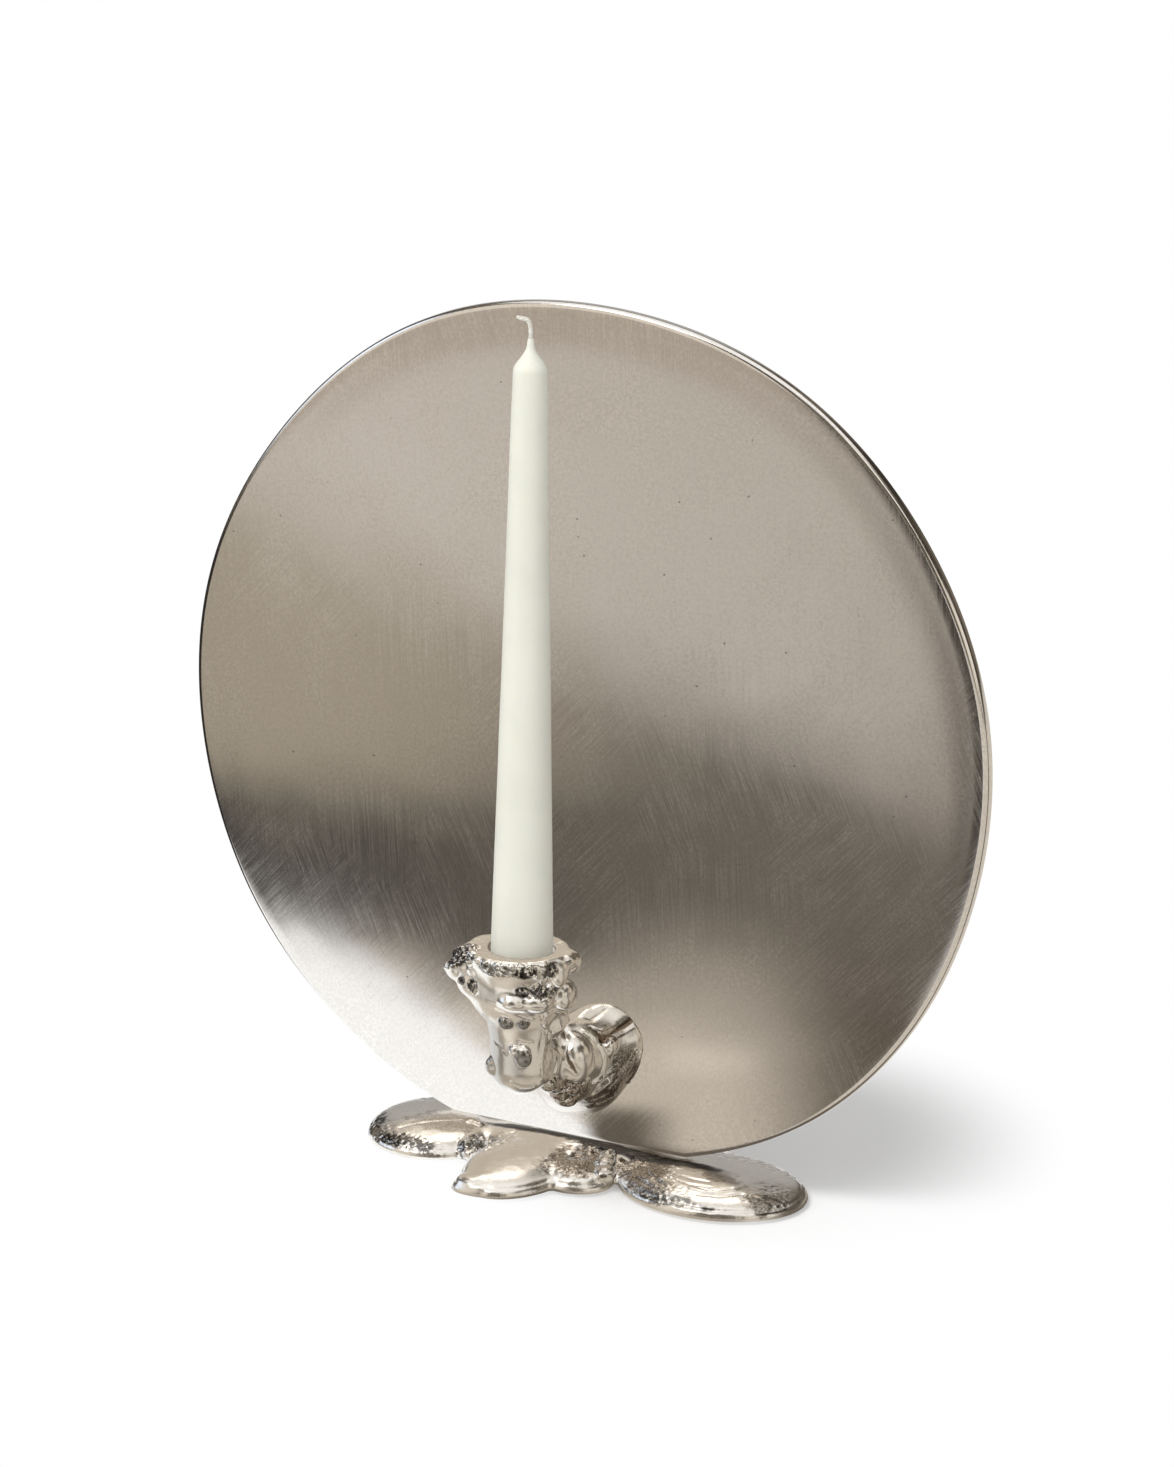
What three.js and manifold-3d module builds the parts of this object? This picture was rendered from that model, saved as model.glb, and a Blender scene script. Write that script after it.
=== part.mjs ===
// A reflector candle holder: a round cast disc stands on edge on a poured foot of flat lobes, and a lumpy
// cast arm on its front carries a cup with a taper candle. Two screws come through a tongue on the foot and
// through the disc into the arm, so they clamp all three together.
// Millimetres, +Z up. X runs along the disc, and the candle stands on its -Y side.
import * as THREE from "three";
import { mergeVertices } from "three/addons/utils/BufferGeometryUtils.js";
import Module from "manifold-3d";

const wasm = await Module();
wasm.setup();

// Driving dimensions

const CLEARANCE = 0.3; // between a screw or a wick and the hole that it lies in

const PAD_THICKNESS = 1; // felt under the foot
const PAD_RADIUS = 9;

const FOOT_THICKNESS = 8; // from the foot's flat underside to the seat of the disc
const LOBE_RIM = 3; // thickness of a lobe at its edge

const DISC_RADIUS = 158.3;
const DISC_THICKNESS = 6;
const DISC_FLAT_WIDTH = 91; // the straight edge that stands on the foot
const DISC_EDGE_ROUND = 2.1;
const DISC_PLANE_Y = 7; // middle of the disc's thickness
// The rim isn't quite round: its radius wanders in these waves, and it is fuller in two places low down.
const DISC_WAVES = [
  { height: 0.45, count: 7, phase: -1.3 },
  { height: 0.3, count: 5, phase: 2.8 },
];
const DISC_FULLER = [
  { height: 1.9, angle: -59 },
  { height: 0.9, angle: -112 },
];
const DISC_FULLER_SHARPNESS = 24;

const TONGUE_THICKNESS = 8;
const TONGUE_FOOT_WIDTH = 60;
const TONGUE_TOP_RADIUS = 15;
const TONGUE_SHOULDER_HEIGHT = 14; // where its sides turn straight, above the seat
const TONGUE_EDGE_ROUND = 2;

const SCREW_RADIUS = 2.5;
const SCREW_TIP_CHAMFER = 0.7;
const SCREW_BITE = 11; // length of thread inside the arm
const SCREW_HEAD_RADIUS = 4.75;
const SCREW_HEAD_HEIGHT = 2.8;
const SCREW_HEX_ACROSS_FLATS = 3;
const SCREW_HEX_DEPTH = 1.6;
const SCREW_SPACING = 20;
const WASHER_RADIUS = 5.5;
const WASHER_THICKNESS = 1;

const BOSS_X = 9; // middle of the arm where it meets the disc
const BOSS_HEIGHT = 32; // the same, above the seat
const BOSS_HALF_WIDTH = 18.8;
const BOSS_HALF_HEIGHT = 22.4;
const BOSS_LEAN = 0.29; // sideways shift of the boss's top for each millimetre of height
const ARM_END_HEIGHT = 42; // middle of the arm where it runs into the cup, above the seat
const ARM_END_RADIUS = 9;

const CUP_X = 2.5;
const CUP_REACH = 44; // from the disc's front face to the candle's axis
const CUP_BASE_HEIGHT = 31.5; // lowest point of the cup, above the seat
const CUP_TOP_HEIGHT = 88; // top of the cup's flange, above the seat
const CUP_WALL = 2.6; // round the foot of the socket
const CUP_FLANGE_WIDTH = 7.2; // from the socket's wall to the rim
const CUP_STEM_RADIUS = 10.8;
const CUP_RIM_LEAN = 2; // how far the rim is shifted towards its front
const CUP_RIM_LEAN_ANGLE = -110; // degrees from X
const CUP_BACK_FLAT = 14.2; // from the axis to the flat on the rim's left rear side
const CUP_BACK_FLAT_ANGLE = 125;
const SOCKET_DEPTH = 23;
const SOCKET_CLEARANCE = 0.6;
const SOCKET_DISH_WIDTH = 4.5; // shallow cone round the socket's mouth
const SOCKET_DISH_DEPTH = 1;

const CANDLE_RADIUS = 11.1;
const CANDLE_LENGTH = 237; // wax, without the neck round the wick
const CANDLE_SHOULDER_RADIUS = 6;
const CANDLE_CONE_HEIGHT = 7.6;
const CANDLE_FOOT_CHAMFER = 1.5;
const WICK_RADIUS = 0.8;
const WICK_RISE = 11; // height of the wick's stub above the wax
const WICK_CURL = 5.1; // sideways reach of the stub
const WICK_NECK_HEIGHT = 3.5; // wax that climbs the wick
const WICK_NECK_WALL = 0.35;
const WICK_FOOT = 0.5; // from the candle's foot to the wick's lower end

// Places worked out from the driving dimensions

const footUnderside = PAD_THICKNESS;
const seatZ = PAD_THICKNESS + FOOT_THICKNESS;
const discCentreZ = seatZ + Math.sqrt(DISC_RADIUS ** 2 - (DISC_FLAT_WIDTH / 2) ** 2);
const discFrontY = DISC_PLANE_Y - DISC_THICKNESS / 2;
const discBackY = DISC_PLANE_Y + DISC_THICKNESS / 2;
const tongueBackY = discBackY + TONGUE_THICKNESS;
const cupY = discFrontY - CUP_REACH;
const cupTopZ = seatZ + CUP_TOP_HEIGHT;
const cupBaseZ = seatZ + CUP_BASE_HEIGHT;
const cupRise = cupTopZ - cupBaseZ;
const socketRadius = CANDLE_RADIUS + SOCKET_CLEARANCE;
const socketFloorZ = cupTopZ - SOCKET_DEPTH;
const flangeRadius = socketRadius + CUP_FLANGE_WIDTH;
const screwHoleRadius = SCREW_RADIUS + CLEARANCE;
const screwHeights = {
  lower: seatZ + BOSS_HEIGHT - SCREW_SPACING / 2,
  upper: seatZ + BOSS_HEIGHT + SCREW_SPACING / 2,
};

// Lobes of the foot: the middle of each, measured from the point under the middle of the disc, its half
// length and half width, the turn of its length from X in degrees, and how far its crown rises past the seat.
const LOBES = {
  left: { x: -51.5, y: -7, length: 26.5, width: 28, turn: 0, crown: 0.2 },
  front: { x: -7.5, y: -25, length: 30.5, width: 20, turn: 86, crown: 0.6 },
  small: { x: 13.5, y: -24, length: 15, width: 13, turn: 0, crown: -0.4 },
  right: { x: 60.5, y: -7.3, length: 36, width: 28, turn: 0, crown: 0.2 },
  rear_left: { x: -25, y: 22, length: 32, width: 24, turn: 112, crown: 0.2 },
  rear_right: { x: 25, y: 22, length: 32, width: 25, turn: 74, crown: 0.4 },
  middle: { x: 5, y: 2, length: 52, width: 24, turn: 0, crown: 0.8 },
};
const PADDED_LOBES = ["left", "front", "right", "rear_left", "rear_right"];

// The cup's wall from its base to its top: share of its rise, and radius.
const CUP_WALLS = [
  [0.05, 0.55 * CUP_STEM_RADIUS],
  [0.11, 0.86 * CUP_STEM_RADIUS],
  [0.19, CUP_STEM_RADIUS],
  [0.4, CUP_STEM_RADIUS],
  [0.52, CUP_STEM_RADIUS + 1.2],
  [0.6, socketRadius + CUP_WALL],
  [0.7, flangeRadius - 2.9],
  [0.8, flangeRadius - 2.9],
  [0.88, flangeRadius - 1.6],
  [0.93, flangeRadius - 0.2],
  [0.97, flangeRadius],
  [1, flangeRadius - 0.8],
];

// Lumps on the cup: the direction from its axis in degrees from X, how far the lump's middle lies below the
// flange's top and beyond the cup's wall, and its half height and half width.
const CUP_LUMPS = {
  horn: { angle: -158, drop: 5.4, beyond: 2, tall: 4.4, wide: 4.6 },
  horn_tip: { angle: -152, drop: 9.6, beyond: 6.2, tall: 3.4, wide: 4 },
  under_horn: { angle: -140, drop: 12.6, beyond: 1.6, tall: 4.2, wide: 5 },
  lip: { angle: 12, drop: 4.4, beyond: -0.8, tall: 4.2, wide: 4.2 },
  bulge: { angle: 18, drop: 17, beyond: -2, tall: 6, wide: 6.2 },
  armpit: { angle: 34, drop: 27, beyond: -2, tall: 8, wide: 6.6 },
  brow: { angle: -42, drop: 15.5, beyond: -1.6, tall: 4, wide: 6.2 },
  brow_left: { angle: -74, drop: 16, beyond: -1, tall: 3, wide: 4.6 },
  left_bead: { angle: -88, drop: 28.4, beyond: -1, tall: 2.3, wide: 2.6 },
  right_bead: { angle: -58, drop: 28.2, beyond: -1, tall: 2.3, wide: 2.6 },
  navel: { angle: -62, drop: 40, beyond: -1.2, tall: 4, wide: 3.6 },
  knob: { angle: -146, drop: 46, beyond: -2.2, tall: 3, wide: 3 },
};

// Rings of the arm: share of the way from the disc's face to the cup's axis, and shares of the boss's width,
// height and lean and of the climb to the arm's end.
const ARM_RINGS = [
  { way: 0, wide: 1, tall: 1, lean: 1, climb: 0 },
  { way: 0.06, wide: 1.01, tall: 1.01, lean: 1, climb: 0 },
  { way: 0.16, wide: 0.94, tall: 0.87, lean: 0.9, climb: 0.02 },
  { way: 0.3, wide: 0.78, tall: 0.63, lean: 0.6, climb: 0.25 },
  { way: 0.46, wide: 0.55, tall: 0.44, lean: 0.3, climb: 0.55 },
  { way: 0.62, wide: 0.3, tall: 0.26, lean: 0.1, climb: 0.8 },
  { way: 0.8, wide: 0.12, tall: 0.12, lean: 0, climb: 0.95 },
  { way: 1, wide: 0, tall: 0, lean: 0, climb: 1 },
];
// Lumps on the arm: share of the way, sideways place and height from the arm's middle, half height and half
// width.
const ARM_LUMPS = {
  chin: { way: 0.44, x: 4, above: -7.5, tall: 7, wide: 8 },
  knuckle: { way: 0.62, x: 9, above: 5, tall: 8, wide: 6.5 },
};

const polishedNickel = { color: 0xc9bfb2, roughness: 0.18, metalness: 1 };
const brushedNickel = { color: 0xb9afa2, roughness: 0.36, metalness: 1 };
const zincSteel = { color: 0xa7a9ac, roughness: 0.3, metalness: 1 };
const candleWhite = { color: 0xe9e9dc, roughness: 0.45, metalness: 0 };
const cotton = { color: 0xe4ded2, roughness: 0.9, metalness: 0 };
const felt = { color: 0x2a2a2c, roughness: 1, metalness: 0 };

// Solids

function solidOf(geometry) {
  const bare = geometry.index ? geometry.toNonIndexed() : geometry.clone();
  bare.deleteAttribute("normal");
  bare.deleteAttribute("uv");
  const merged = mergeVertices(bare, 1e-4);
  return new wasm.Manifold(
    new wasm.Mesh({
      numProp: 3,
      vertProperties: merged.attributes.position.array,
      triVerts: new Uint32Array(merged.index.array),
    }),
  );
}

function geometryOf(solid) {
  const mesh = solid.getMesh();
  const geometry = new THREE.BufferGeometry();
  geometry.setAttribute("position", new THREE.BufferAttribute(mesh.vertProperties, 3));
  geometry.setIndex(new THREE.BufferAttribute(mesh.triVerts, 1));
  geometry.computeVertexNormals();
  return geometry;
}

function joined(solids) {
  return solids.reduce((sum, next) => sum.add(next));
}

function named(name, geometry, finish) {
  const mesh = new THREE.Mesh(geometry, new THREE.MeshStandardMaterial(finish));
  mesh.name = name;
  return mesh;
}

// A closed skin through rings of points that all have the same count, with flat ends.
function loft(rings) {
  const count = rings[0].length;
  const positions = rings.flat().flatMap((p) => [p.x, p.y, p.z]);
  const faces = [];
  for (let r = 0; r + 1 < rings.length; r++) {
    for (let i = 0; i < count; i++) {
      const a = r * count + i;
      const b = r * count + ((i + 1) % count);
      faces.push(a, b, a + count, b, b + count, a + count);
    }
  }
  const last = (rings.length - 1) * count;
  for (let i = 1; i + 1 < count; i++) {
    faces.push(0, i + 1, i, last, last + i, last + i + 1);
  }
  const geometry = new THREE.BufferGeometry();
  geometry.setAttribute("position", new THREE.Float32BufferAttribute(positions, 3));
  geometry.setIndex(faces);
  return geometry;
}

// A LatheGeometry turned about Z, from [radius, height] points that run from the foot of the axis, outwards
// and up to its top.
function turned(profile, segments) {
  const points = profile.map(([radius, height]) => new THREE.Vector2(radius, height));
  return new THREE.LatheGeometry(points, segments).rotateX(Math.PI / 2);
}

// A rod along Y from y0 to y1.
function rodAlongY(radius, y0, y1, segments = 24) {
  const rod = new THREE.CylinderGeometry(radius, radius, Math.abs(y1 - y0), segments);
  return rod.translate(0, (y0 + y1) / 2, 0);
}

// Foot

const LOBE_SEGMENTS = 36;
const DOME_STEPS = 5;

function lobeSolid({ x, y, length, width, turn, crown }) {
  const edge = 1 - LOBE_RIM / 2 / Math.min(length, width);
  const shoulder = 0.8 * LOBE_RIM;
  const profile = [
    [0, 0],
    [edge, 0],
    [1, LOBE_RIM / 2],
  ];
  for (let i = 0; i <= DOME_STEPS; i++) {
    const a = (i / DOME_STEPS) * (Math.PI / 2);
    const climb = (FOOT_THICKNESS + crown - shoulder) * Math.sin(a) ** 0.8;
    profile.push([edge * Math.cos(a), shoulder + climb]);
  }
  const dome = turned(profile, LOBE_SEGMENTS);
  dome.scale(length, width, 1);
  dome.rotateZ(THREE.MathUtils.degToRad(turn));
  return solidOf(dome.translate(x, DISC_PLANE_Y + y, footUnderside));
}

// The tongue's outline in X and Z: straight sides drawn in to a round top.
function tongueShape() {
  const half = TONGUE_FOOT_WIDTH / 2;
  const bottom = footUnderside + LOBE_RIM;
  const r = TONGUE_TOP_RADIUS;
  const shape = new THREE.Shape();
  shape.moveTo(-half, bottom);
  shape.lineTo(half, bottom);
  const shoulder = seatZ + TONGUE_SHOULDER_HEIGHT;
  shape.bezierCurveTo(r, (bottom + shoulder) / 2, r, shoulder, r, screwHeights.upper);
  shape.absarc(0, screwHeights.upper, r, 0, Math.PI, false);
  shape.bezierCurveTo(-r, shoulder, -r, (bottom + shoulder) / 2, -half, bottom);
  return shape;
}

// A shape drawn in X and Z, extruded towards +Y from y0, with both edges rounded.
function slabAlongY(shape, y0, thickness, round, curveSegments) {
  const slab = new THREE.ExtrudeGeometry(shape, {
    depth: thickness - 2 * round,
    bevelThickness: round,
    bevelSize: round,
    bevelOffset: -round,
    bevelSegments: 3,
    curveSegments,
  });
  return slab.translate(0, 0, round).rotateX(Math.PI / 2).translate(0, y0 + thickness, 0);
}

function footCasting() {
  const tongue = slabAlongY(tongueShape(), discBackY, TONGUE_THICKNESS, TONGUE_EDGE_ROUND, 10);
  tongue.translate(BOSS_X, 0, 0);
  let foot = joined([...Object.values(LOBES).map(lobeSolid), solidOf(tongue)]);
  // Nothing on the foot stands in the disc's place.
  const slot = new THREE.BoxGeometry(2 * DISC_RADIUS, DISC_THICKNESS, 2 * DISC_RADIUS);
  foot = foot.subtract(solidOf(slot.translate(0, DISC_PLANE_Y, seatZ + DISC_RADIUS)));
  for (const z of Object.values(screwHeights)) {
    const hole = rodAlongY(screwHoleRadius, discBackY - 1, tongueBackY + 1).translate(BOSS_X, 0, z);
    foot = foot.subtract(solidOf(hole));
  }
  return named("foot_casting", geometryOf(foot), polishedNickel);
}

function footPad(name) {
  const lobe = LOBES[name];
  const pad = new THREE.CylinderGeometry(PAD_RADIUS, PAD_RADIUS, PAD_THICKNESS, 32);
  pad.rotateX(Math.PI / 2);
  const mesh = named(`felt_pad_${name}`, pad, felt);
  mesh.position.set(lobe.x, DISC_PLANE_Y + lobe.y, PAD_THICKNESS / 2);
  return mesh;
}

// Disc

const DISC_SEGMENTS = 144;

function discRadiusAt(angle) {
  let radius = DISC_RADIUS;
  for (const wave of DISC_WAVES) radius += wave.height * Math.cos(wave.count * angle + wave.phase);
  for (const place of DISC_FULLER) {
    const near = Math.max(0, Math.cos(angle - THREE.MathUtils.degToRad(place.angle)));
    radius += place.height * near ** DISC_FULLER_SHARPNESS;
  }
  return radius;
}

function discShape() {
  const shape = new THREE.Shape();
  for (let i = 0; i < DISC_SEGMENTS; i++) {
    const angle = (2 * Math.PI * i) / DISC_SEGMENTS;
    const radius = discRadiusAt(angle);
    const z = Math.max(seatZ, discCentreZ + radius * Math.sin(angle));
    if (i === 0) shape.moveTo(radius, z);
    else shape.lineTo(radius * Math.cos(angle), z);
  }
  for (const z of Object.values(screwHeights)) {
    const hole = new THREE.Path();
    hole.absarc(BOSS_X, z, screwHoleRadius, 0, 2 * Math.PI, true);
    shape.holes.push(hole);
  }
  return shape;
}

function reflectorDisc() {
  const disc = slabAlongY(discShape(), discFrontY, DISC_THICKNESS, DISC_EDGE_ROUND, 12);
  return named("reflector_disc", disc, brushedNickel);
}

// Arm and cup, one casting

const ARM_SEGMENTS = 32;
const CUP_SEGMENTS = 36;
const LUMP_SEGMENTS = 14;

function armMiddle(way, climb) {
  return new THREE.Vector3(
    THREE.MathUtils.lerp(BOSS_X, CUP_X, way),
    discFrontY - way * CUP_REACH,
    seatZ + THREE.MathUtils.lerp(BOSS_HEIGHT, ARM_END_HEIGHT, climb),
  );
}

function armRing({ way, wide, tall, lean, climb }) {
  const middle = armMiddle(way, climb);
  const halfWidth = THREE.MathUtils.lerp(ARM_END_RADIUS, BOSS_HALF_WIDTH, wide);
  const halfHeight = THREE.MathUtils.lerp(ARM_END_RADIUS, BOSS_HALF_HEIGHT, tall);
  const ring = [];
  for (let i = 0; i < ARM_SEGMENTS; i++) {
    const a = (2 * Math.PI * i) / ARM_SEGMENTS;
    const wobble = 1 + 0.025 * Math.sin(3 * a + 13 * way) + 0.02 * Math.sin(5 * a - 9 * way);
    const z = halfHeight * wobble * Math.sin(a);
    const x = halfWidth * wobble * Math.cos(a) + lean * BOSS_LEAN * z;
    ring.push(new THREE.Vector3(x, 0, z).add(middle));
  }
  return ring;
}

// A flattened ball, wide across and tall along Z.
function lumpSolid(wide, tall, x, y, z) {
  const lump = new THREE.SphereGeometry(1, LUMP_SEGMENTS, LUMP_SEGMENTS / 2).rotateX(Math.PI / 2);
  return solidOf(lump.scale(wide, wide, tall).translate(x, y, z));
}

function armLump({ way, x, above, tall, wide }) {
  const middle = armMiddle(way, way);
  return lumpSolid(wide, tall, middle.x + x, middle.y, middle.z + above);
}

function cupWallAt(z) {
  const share = (z - cupBaseZ) / cupRise;
  const next = CUP_WALLS.findIndex(([level]) => level >= share);
  const [level0, radius0] = CUP_WALLS[next - 1];
  const [level1, radius1] = CUP_WALLS[next];
  return THREE.MathUtils.mapLinear(share, level0, level1, radius0, radius1);
}

function cupLump({ angle, drop, beyond, tall, wide }) {
  const a = THREE.MathUtils.degToRad(angle);
  const z = cupTopZ - drop;
  const reach = cupWallAt(z) + beyond;
  return lumpSolid(wide, tall, CUP_X + reach * Math.cos(a), cupY + reach * Math.sin(a), z);
}

function rimRadius(radius, angle) {
  const forwards = Math.cos(angle - THREE.MathUtils.degToRad(CUP_RIM_LEAN_ANGLE));
  const leaning = radius + CUP_RIM_LEAN * forwards;
  const toFlat = Math.cos(angle - THREE.MathUtils.degToRad(CUP_BACK_FLAT_ANGLE));
  return toFlat > 0 ? Math.min(leaning, CUP_BACK_FLAT / toFlat) : leaning;
}

// The rim's shape fades out down the stem.
function cupSolid() {
  const outside = CUP_WALLS.map(([level, radius]) => [radius, level * cupRise]);
  const cup = turned([[0, 0], ...outside, [0, cupRise]], CUP_SEGMENTS);
  const place = cup.attributes.position;
  for (let i = 0; i < place.count; i++) {
    const radius = Math.hypot(place.getX(i), place.getY(i));
    if (radius === 0) continue;
    const angle = Math.atan2(place.getY(i), place.getX(i));
    const level = place.getZ(i) / cupRise;
    const out = THREE.MathUtils.lerp(radius, rimRadius(radius, angle), level ** 2);
    place.setXY(i, out * Math.cos(angle), out * Math.sin(angle));
  }
  return solidOf(cup.translate(CUP_X, cupY, cupBaseZ));
}

function socketSolid() {
  const above = 2;
  const socket = turned(
    [
      [0, socketFloorZ],
      [socketRadius, socketFloorZ],
      [socketRadius, cupTopZ - SOCKET_DISH_DEPTH],
      [socketRadius + SOCKET_DISH_WIDTH, cupTopZ],
      [socketRadius + SOCKET_DISH_WIDTH, cupTopZ + above],
      [0, cupTopZ + above],
    ],
    48,
  );
  return solidOf(socket.translate(CUP_X, cupY, 0));
}

// The arm ends flat against the disc.
function behindDiscFace() {
  const side = 2 * DISC_RADIUS;
  return solidOf(new THREE.BoxGeometry(side, side, side).translate(0, discFrontY + side / 2, 0));
}

function armCasting() {
  const lumps = [...Object.values(CUP_LUMPS).map(cupLump), ...Object.values(ARM_LUMPS).map(armLump)];
  let arm = joined([solidOf(loft(ARM_RINGS.map(armRing))), cupSolid(), ...lumps]);
  arm = arm.subtract(socketSolid()).subtract(behindDiscFace());
  for (const z of Object.values(screwHeights)) {
    const hole = rodAlongY(screwHoleRadius, discFrontY - SCREW_BITE - CLEARANCE, discFrontY + 1);
    arm = arm.subtract(solidOf(hole.translate(BOSS_X, 0, z)));
  }
  return named("cup_arm_casting", geometryOf(arm), polishedNickel);
}

// Screws and washers

// A button-head screw along Y, its thread towards -Y and its head against a washer.
function screw(name, z) {
  const headY = tongueBackY + WASHER_THICKNESS;
  const tipY = discFrontY - SCREW_BITE;
  const profile = [
    [0, tipY],
    [SCREW_RADIUS - SCREW_TIP_CHAMFER, tipY],
    [SCREW_RADIUS, tipY + SCREW_TIP_CHAMFER],
    [SCREW_RADIUS, headY],
    [SCREW_HEAD_RADIUS, headY],
    [SCREW_HEAD_RADIUS, headY + 0.3 * SCREW_HEAD_HEIGHT],
    [SCREW_HEAD_RADIUS * 0.86, headY + 0.7 * SCREW_HEAD_HEIGHT],
    [SCREW_HEAD_RADIUS * 0.6, headY + SCREW_HEAD_HEIGHT],
    [0, headY + SCREW_HEAD_HEIGHT],
  ];
  const body = turned(profile, 24).rotateX(-Math.PI / 2);
  const hexRadius = SCREW_HEX_ACROSS_FLATS / 2 / Math.cos(Math.PI / 6);
  const hexFloor = headY + SCREW_HEAD_HEIGHT - SCREW_HEX_DEPTH;
  const hex = rodAlongY(hexRadius, hexFloor, headY + SCREW_HEAD_HEIGHT + 1, 6);
  const mesh = named(name, geometryOf(solidOf(body).subtract(solidOf(hex))), zincSteel);
  mesh.position.set(BOSS_X, 0, z);
  return mesh;
}

function washer(name, z) {
  const ring = turned(
    [
      [screwHoleRadius, 0],
      [WASHER_RADIUS, 0],
      [WASHER_RADIUS, WASHER_THICKNESS],
      [screwHoleRadius, WASHER_THICKNESS],
      [screwHoleRadius, 0],
    ],
    32,
  );
  const mesh = named(name, ring.rotateX(-Math.PI / 2), zincSteel);
  mesh.position.set(BOSS_X, tongueBackY, z);
  return mesh;
}

// Candle

const wickHoleRadius = WICK_RADIUS + CLEARANCE;
const shoulderHeight = CANDLE_LENGTH - CANDLE_CONE_HEIGHT;

function candleWax() {
  const neck = wickHoleRadius + WICK_NECK_WALL;
  const stick = turned(
    [
      [wickHoleRadius, 0],
      [CANDLE_RADIUS - CANDLE_FOOT_CHAMFER, 0],
      [CANDLE_RADIUS, CANDLE_FOOT_CHAMFER],
      [CANDLE_RADIUS, SOCKET_DEPTH],
      [CANDLE_SHOULDER_RADIUS, shoulderHeight],
      [CANDLE_SHOULDER_RADIUS * 0.9, shoulderHeight + 0.2 * CANDLE_CONE_HEIGHT],
      [CANDLE_SHOULDER_RADIUS * 0.62, shoulderHeight + 0.55 * CANDLE_CONE_HEIGHT],
      [CANDLE_SHOULDER_RADIUS * 0.38, shoulderHeight + 0.85 * CANDLE_CONE_HEIGHT],
      [neck, CANDLE_LENGTH],
      [neck, CANDLE_LENGTH + WICK_NECK_HEIGHT],
      [wickHoleRadius, CANDLE_LENGTH + WICK_NECK_HEIGHT],
      [wickHoleRadius, 0],
    ],
    48,
  );
  const mesh = named("candle_wax", stick, candleWhite);
  mesh.position.set(CUP_X, cupY, socketFloorZ);
  return mesh;
}

// The wick runs the length of the candle, and its stub curls over towards the left.
const CURL_STEPS = 10;
const WICK_SIDES = 8;

function candleWick() {
  const lean = new THREE.Vector3(-0.894, -0.448, 0);
  const across = new THREE.Vector3().crossVectors(lean, new THREE.Vector3(0, 0, 1));
  const stub = (along, height) =>
    lean.clone().multiplyScalar(along * WICK_CURL).setZ(CANDLE_LENGTH + height * WICK_RISE);
  const curl = new THREE.CubicBezierCurve3(stub(0, 0.5), stub(0, 0.95), stub(0.3, 0.92), stub(1, 0.97));
  const path = [{ point: new THREE.Vector3(0, 0, WICK_FOOT), tangent: new THREE.Vector3(0, 0, 1) }];
  for (let i = 0; i <= CURL_STEPS; i++) {
    path.push({ point: curl.getPoint(i / CURL_STEPS), tangent: curl.getTangent(i / CURL_STEPS) });
  }
  const rings = path.map(({ point, tangent }) => {
    const outwards = new THREE.Vector3().crossVectors(across, tangent);
    return Array.from({ length: WICK_SIDES }, (_, i) => {
      const a = (2 * Math.PI * i) / WICK_SIDES;
      return point
        .clone()
        .addScaledVector(outwards, WICK_RADIUS * Math.cos(a))
        .addScaledVector(across, WICK_RADIUS * Math.sin(a));
    });
  });
  const mesh = named("candle_wick", loft(rings), cotton);
  mesh.position.set(CUP_X, cupY, socketFloorZ);
  return mesh;
}

// Assembly

const holder = new THREE.Group();
holder.add(footCasting(), reflectorDisc(), armCasting());
holder.add(...PADDED_LOBES.map(footPad));
for (const [name, z] of Object.entries(screwHeights)) {
  holder.add(screw(`arm_screw_${name}`, z), washer(`arm_washer_${name}`, z));
}
const candle = new THREE.Group();
candle.add(candleWax(), candleWick());
holder.add(candle);

export default holder;
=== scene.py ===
"""The looks of a reflector candle holder: a brushed disc on a poured foot, a lumpy cast arm and cup, and a
taper candle. Metres, +Z up. X runs along the disc, and the candle stands on its -Y side.

The shape tables are in millimetres and repeat the solids' own dimensions.
"""

import math

import bpy
import numpy as np
from bpy.props import FloatProperty, FloatVectorProperty, PointerProperty
from bpy.types import Operator, Panel, PropertyGroup
from mathutils import Matrix, Vector


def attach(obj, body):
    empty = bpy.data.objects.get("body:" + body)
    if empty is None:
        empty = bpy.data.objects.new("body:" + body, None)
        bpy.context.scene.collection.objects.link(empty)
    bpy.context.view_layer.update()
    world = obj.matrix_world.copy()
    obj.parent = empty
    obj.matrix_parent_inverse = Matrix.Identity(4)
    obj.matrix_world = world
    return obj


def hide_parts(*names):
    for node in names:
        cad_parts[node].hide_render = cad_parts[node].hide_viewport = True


bl_info = {
    "name": "Reflector candle holder",
    "version": (1, 0, 0),
    "blender": (4, 5, 0),
    "location": "View3D > Sidebar > Candle holder",
    "description": "Builds the looks of a reflector candle holder round its packed solids",
    "category": "Object",
}

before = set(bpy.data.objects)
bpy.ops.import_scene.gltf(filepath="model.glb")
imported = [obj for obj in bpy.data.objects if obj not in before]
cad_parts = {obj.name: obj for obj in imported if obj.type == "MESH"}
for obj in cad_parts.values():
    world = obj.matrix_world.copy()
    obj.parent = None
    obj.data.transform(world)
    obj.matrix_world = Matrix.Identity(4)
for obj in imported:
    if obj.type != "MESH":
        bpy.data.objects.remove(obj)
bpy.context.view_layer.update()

MM = 0.001

# Main planes, axes and radii, in millimetres. The foot's seat carries the disc, which stands in a slot
# between the arm on its front and the tongue on its back.

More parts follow.
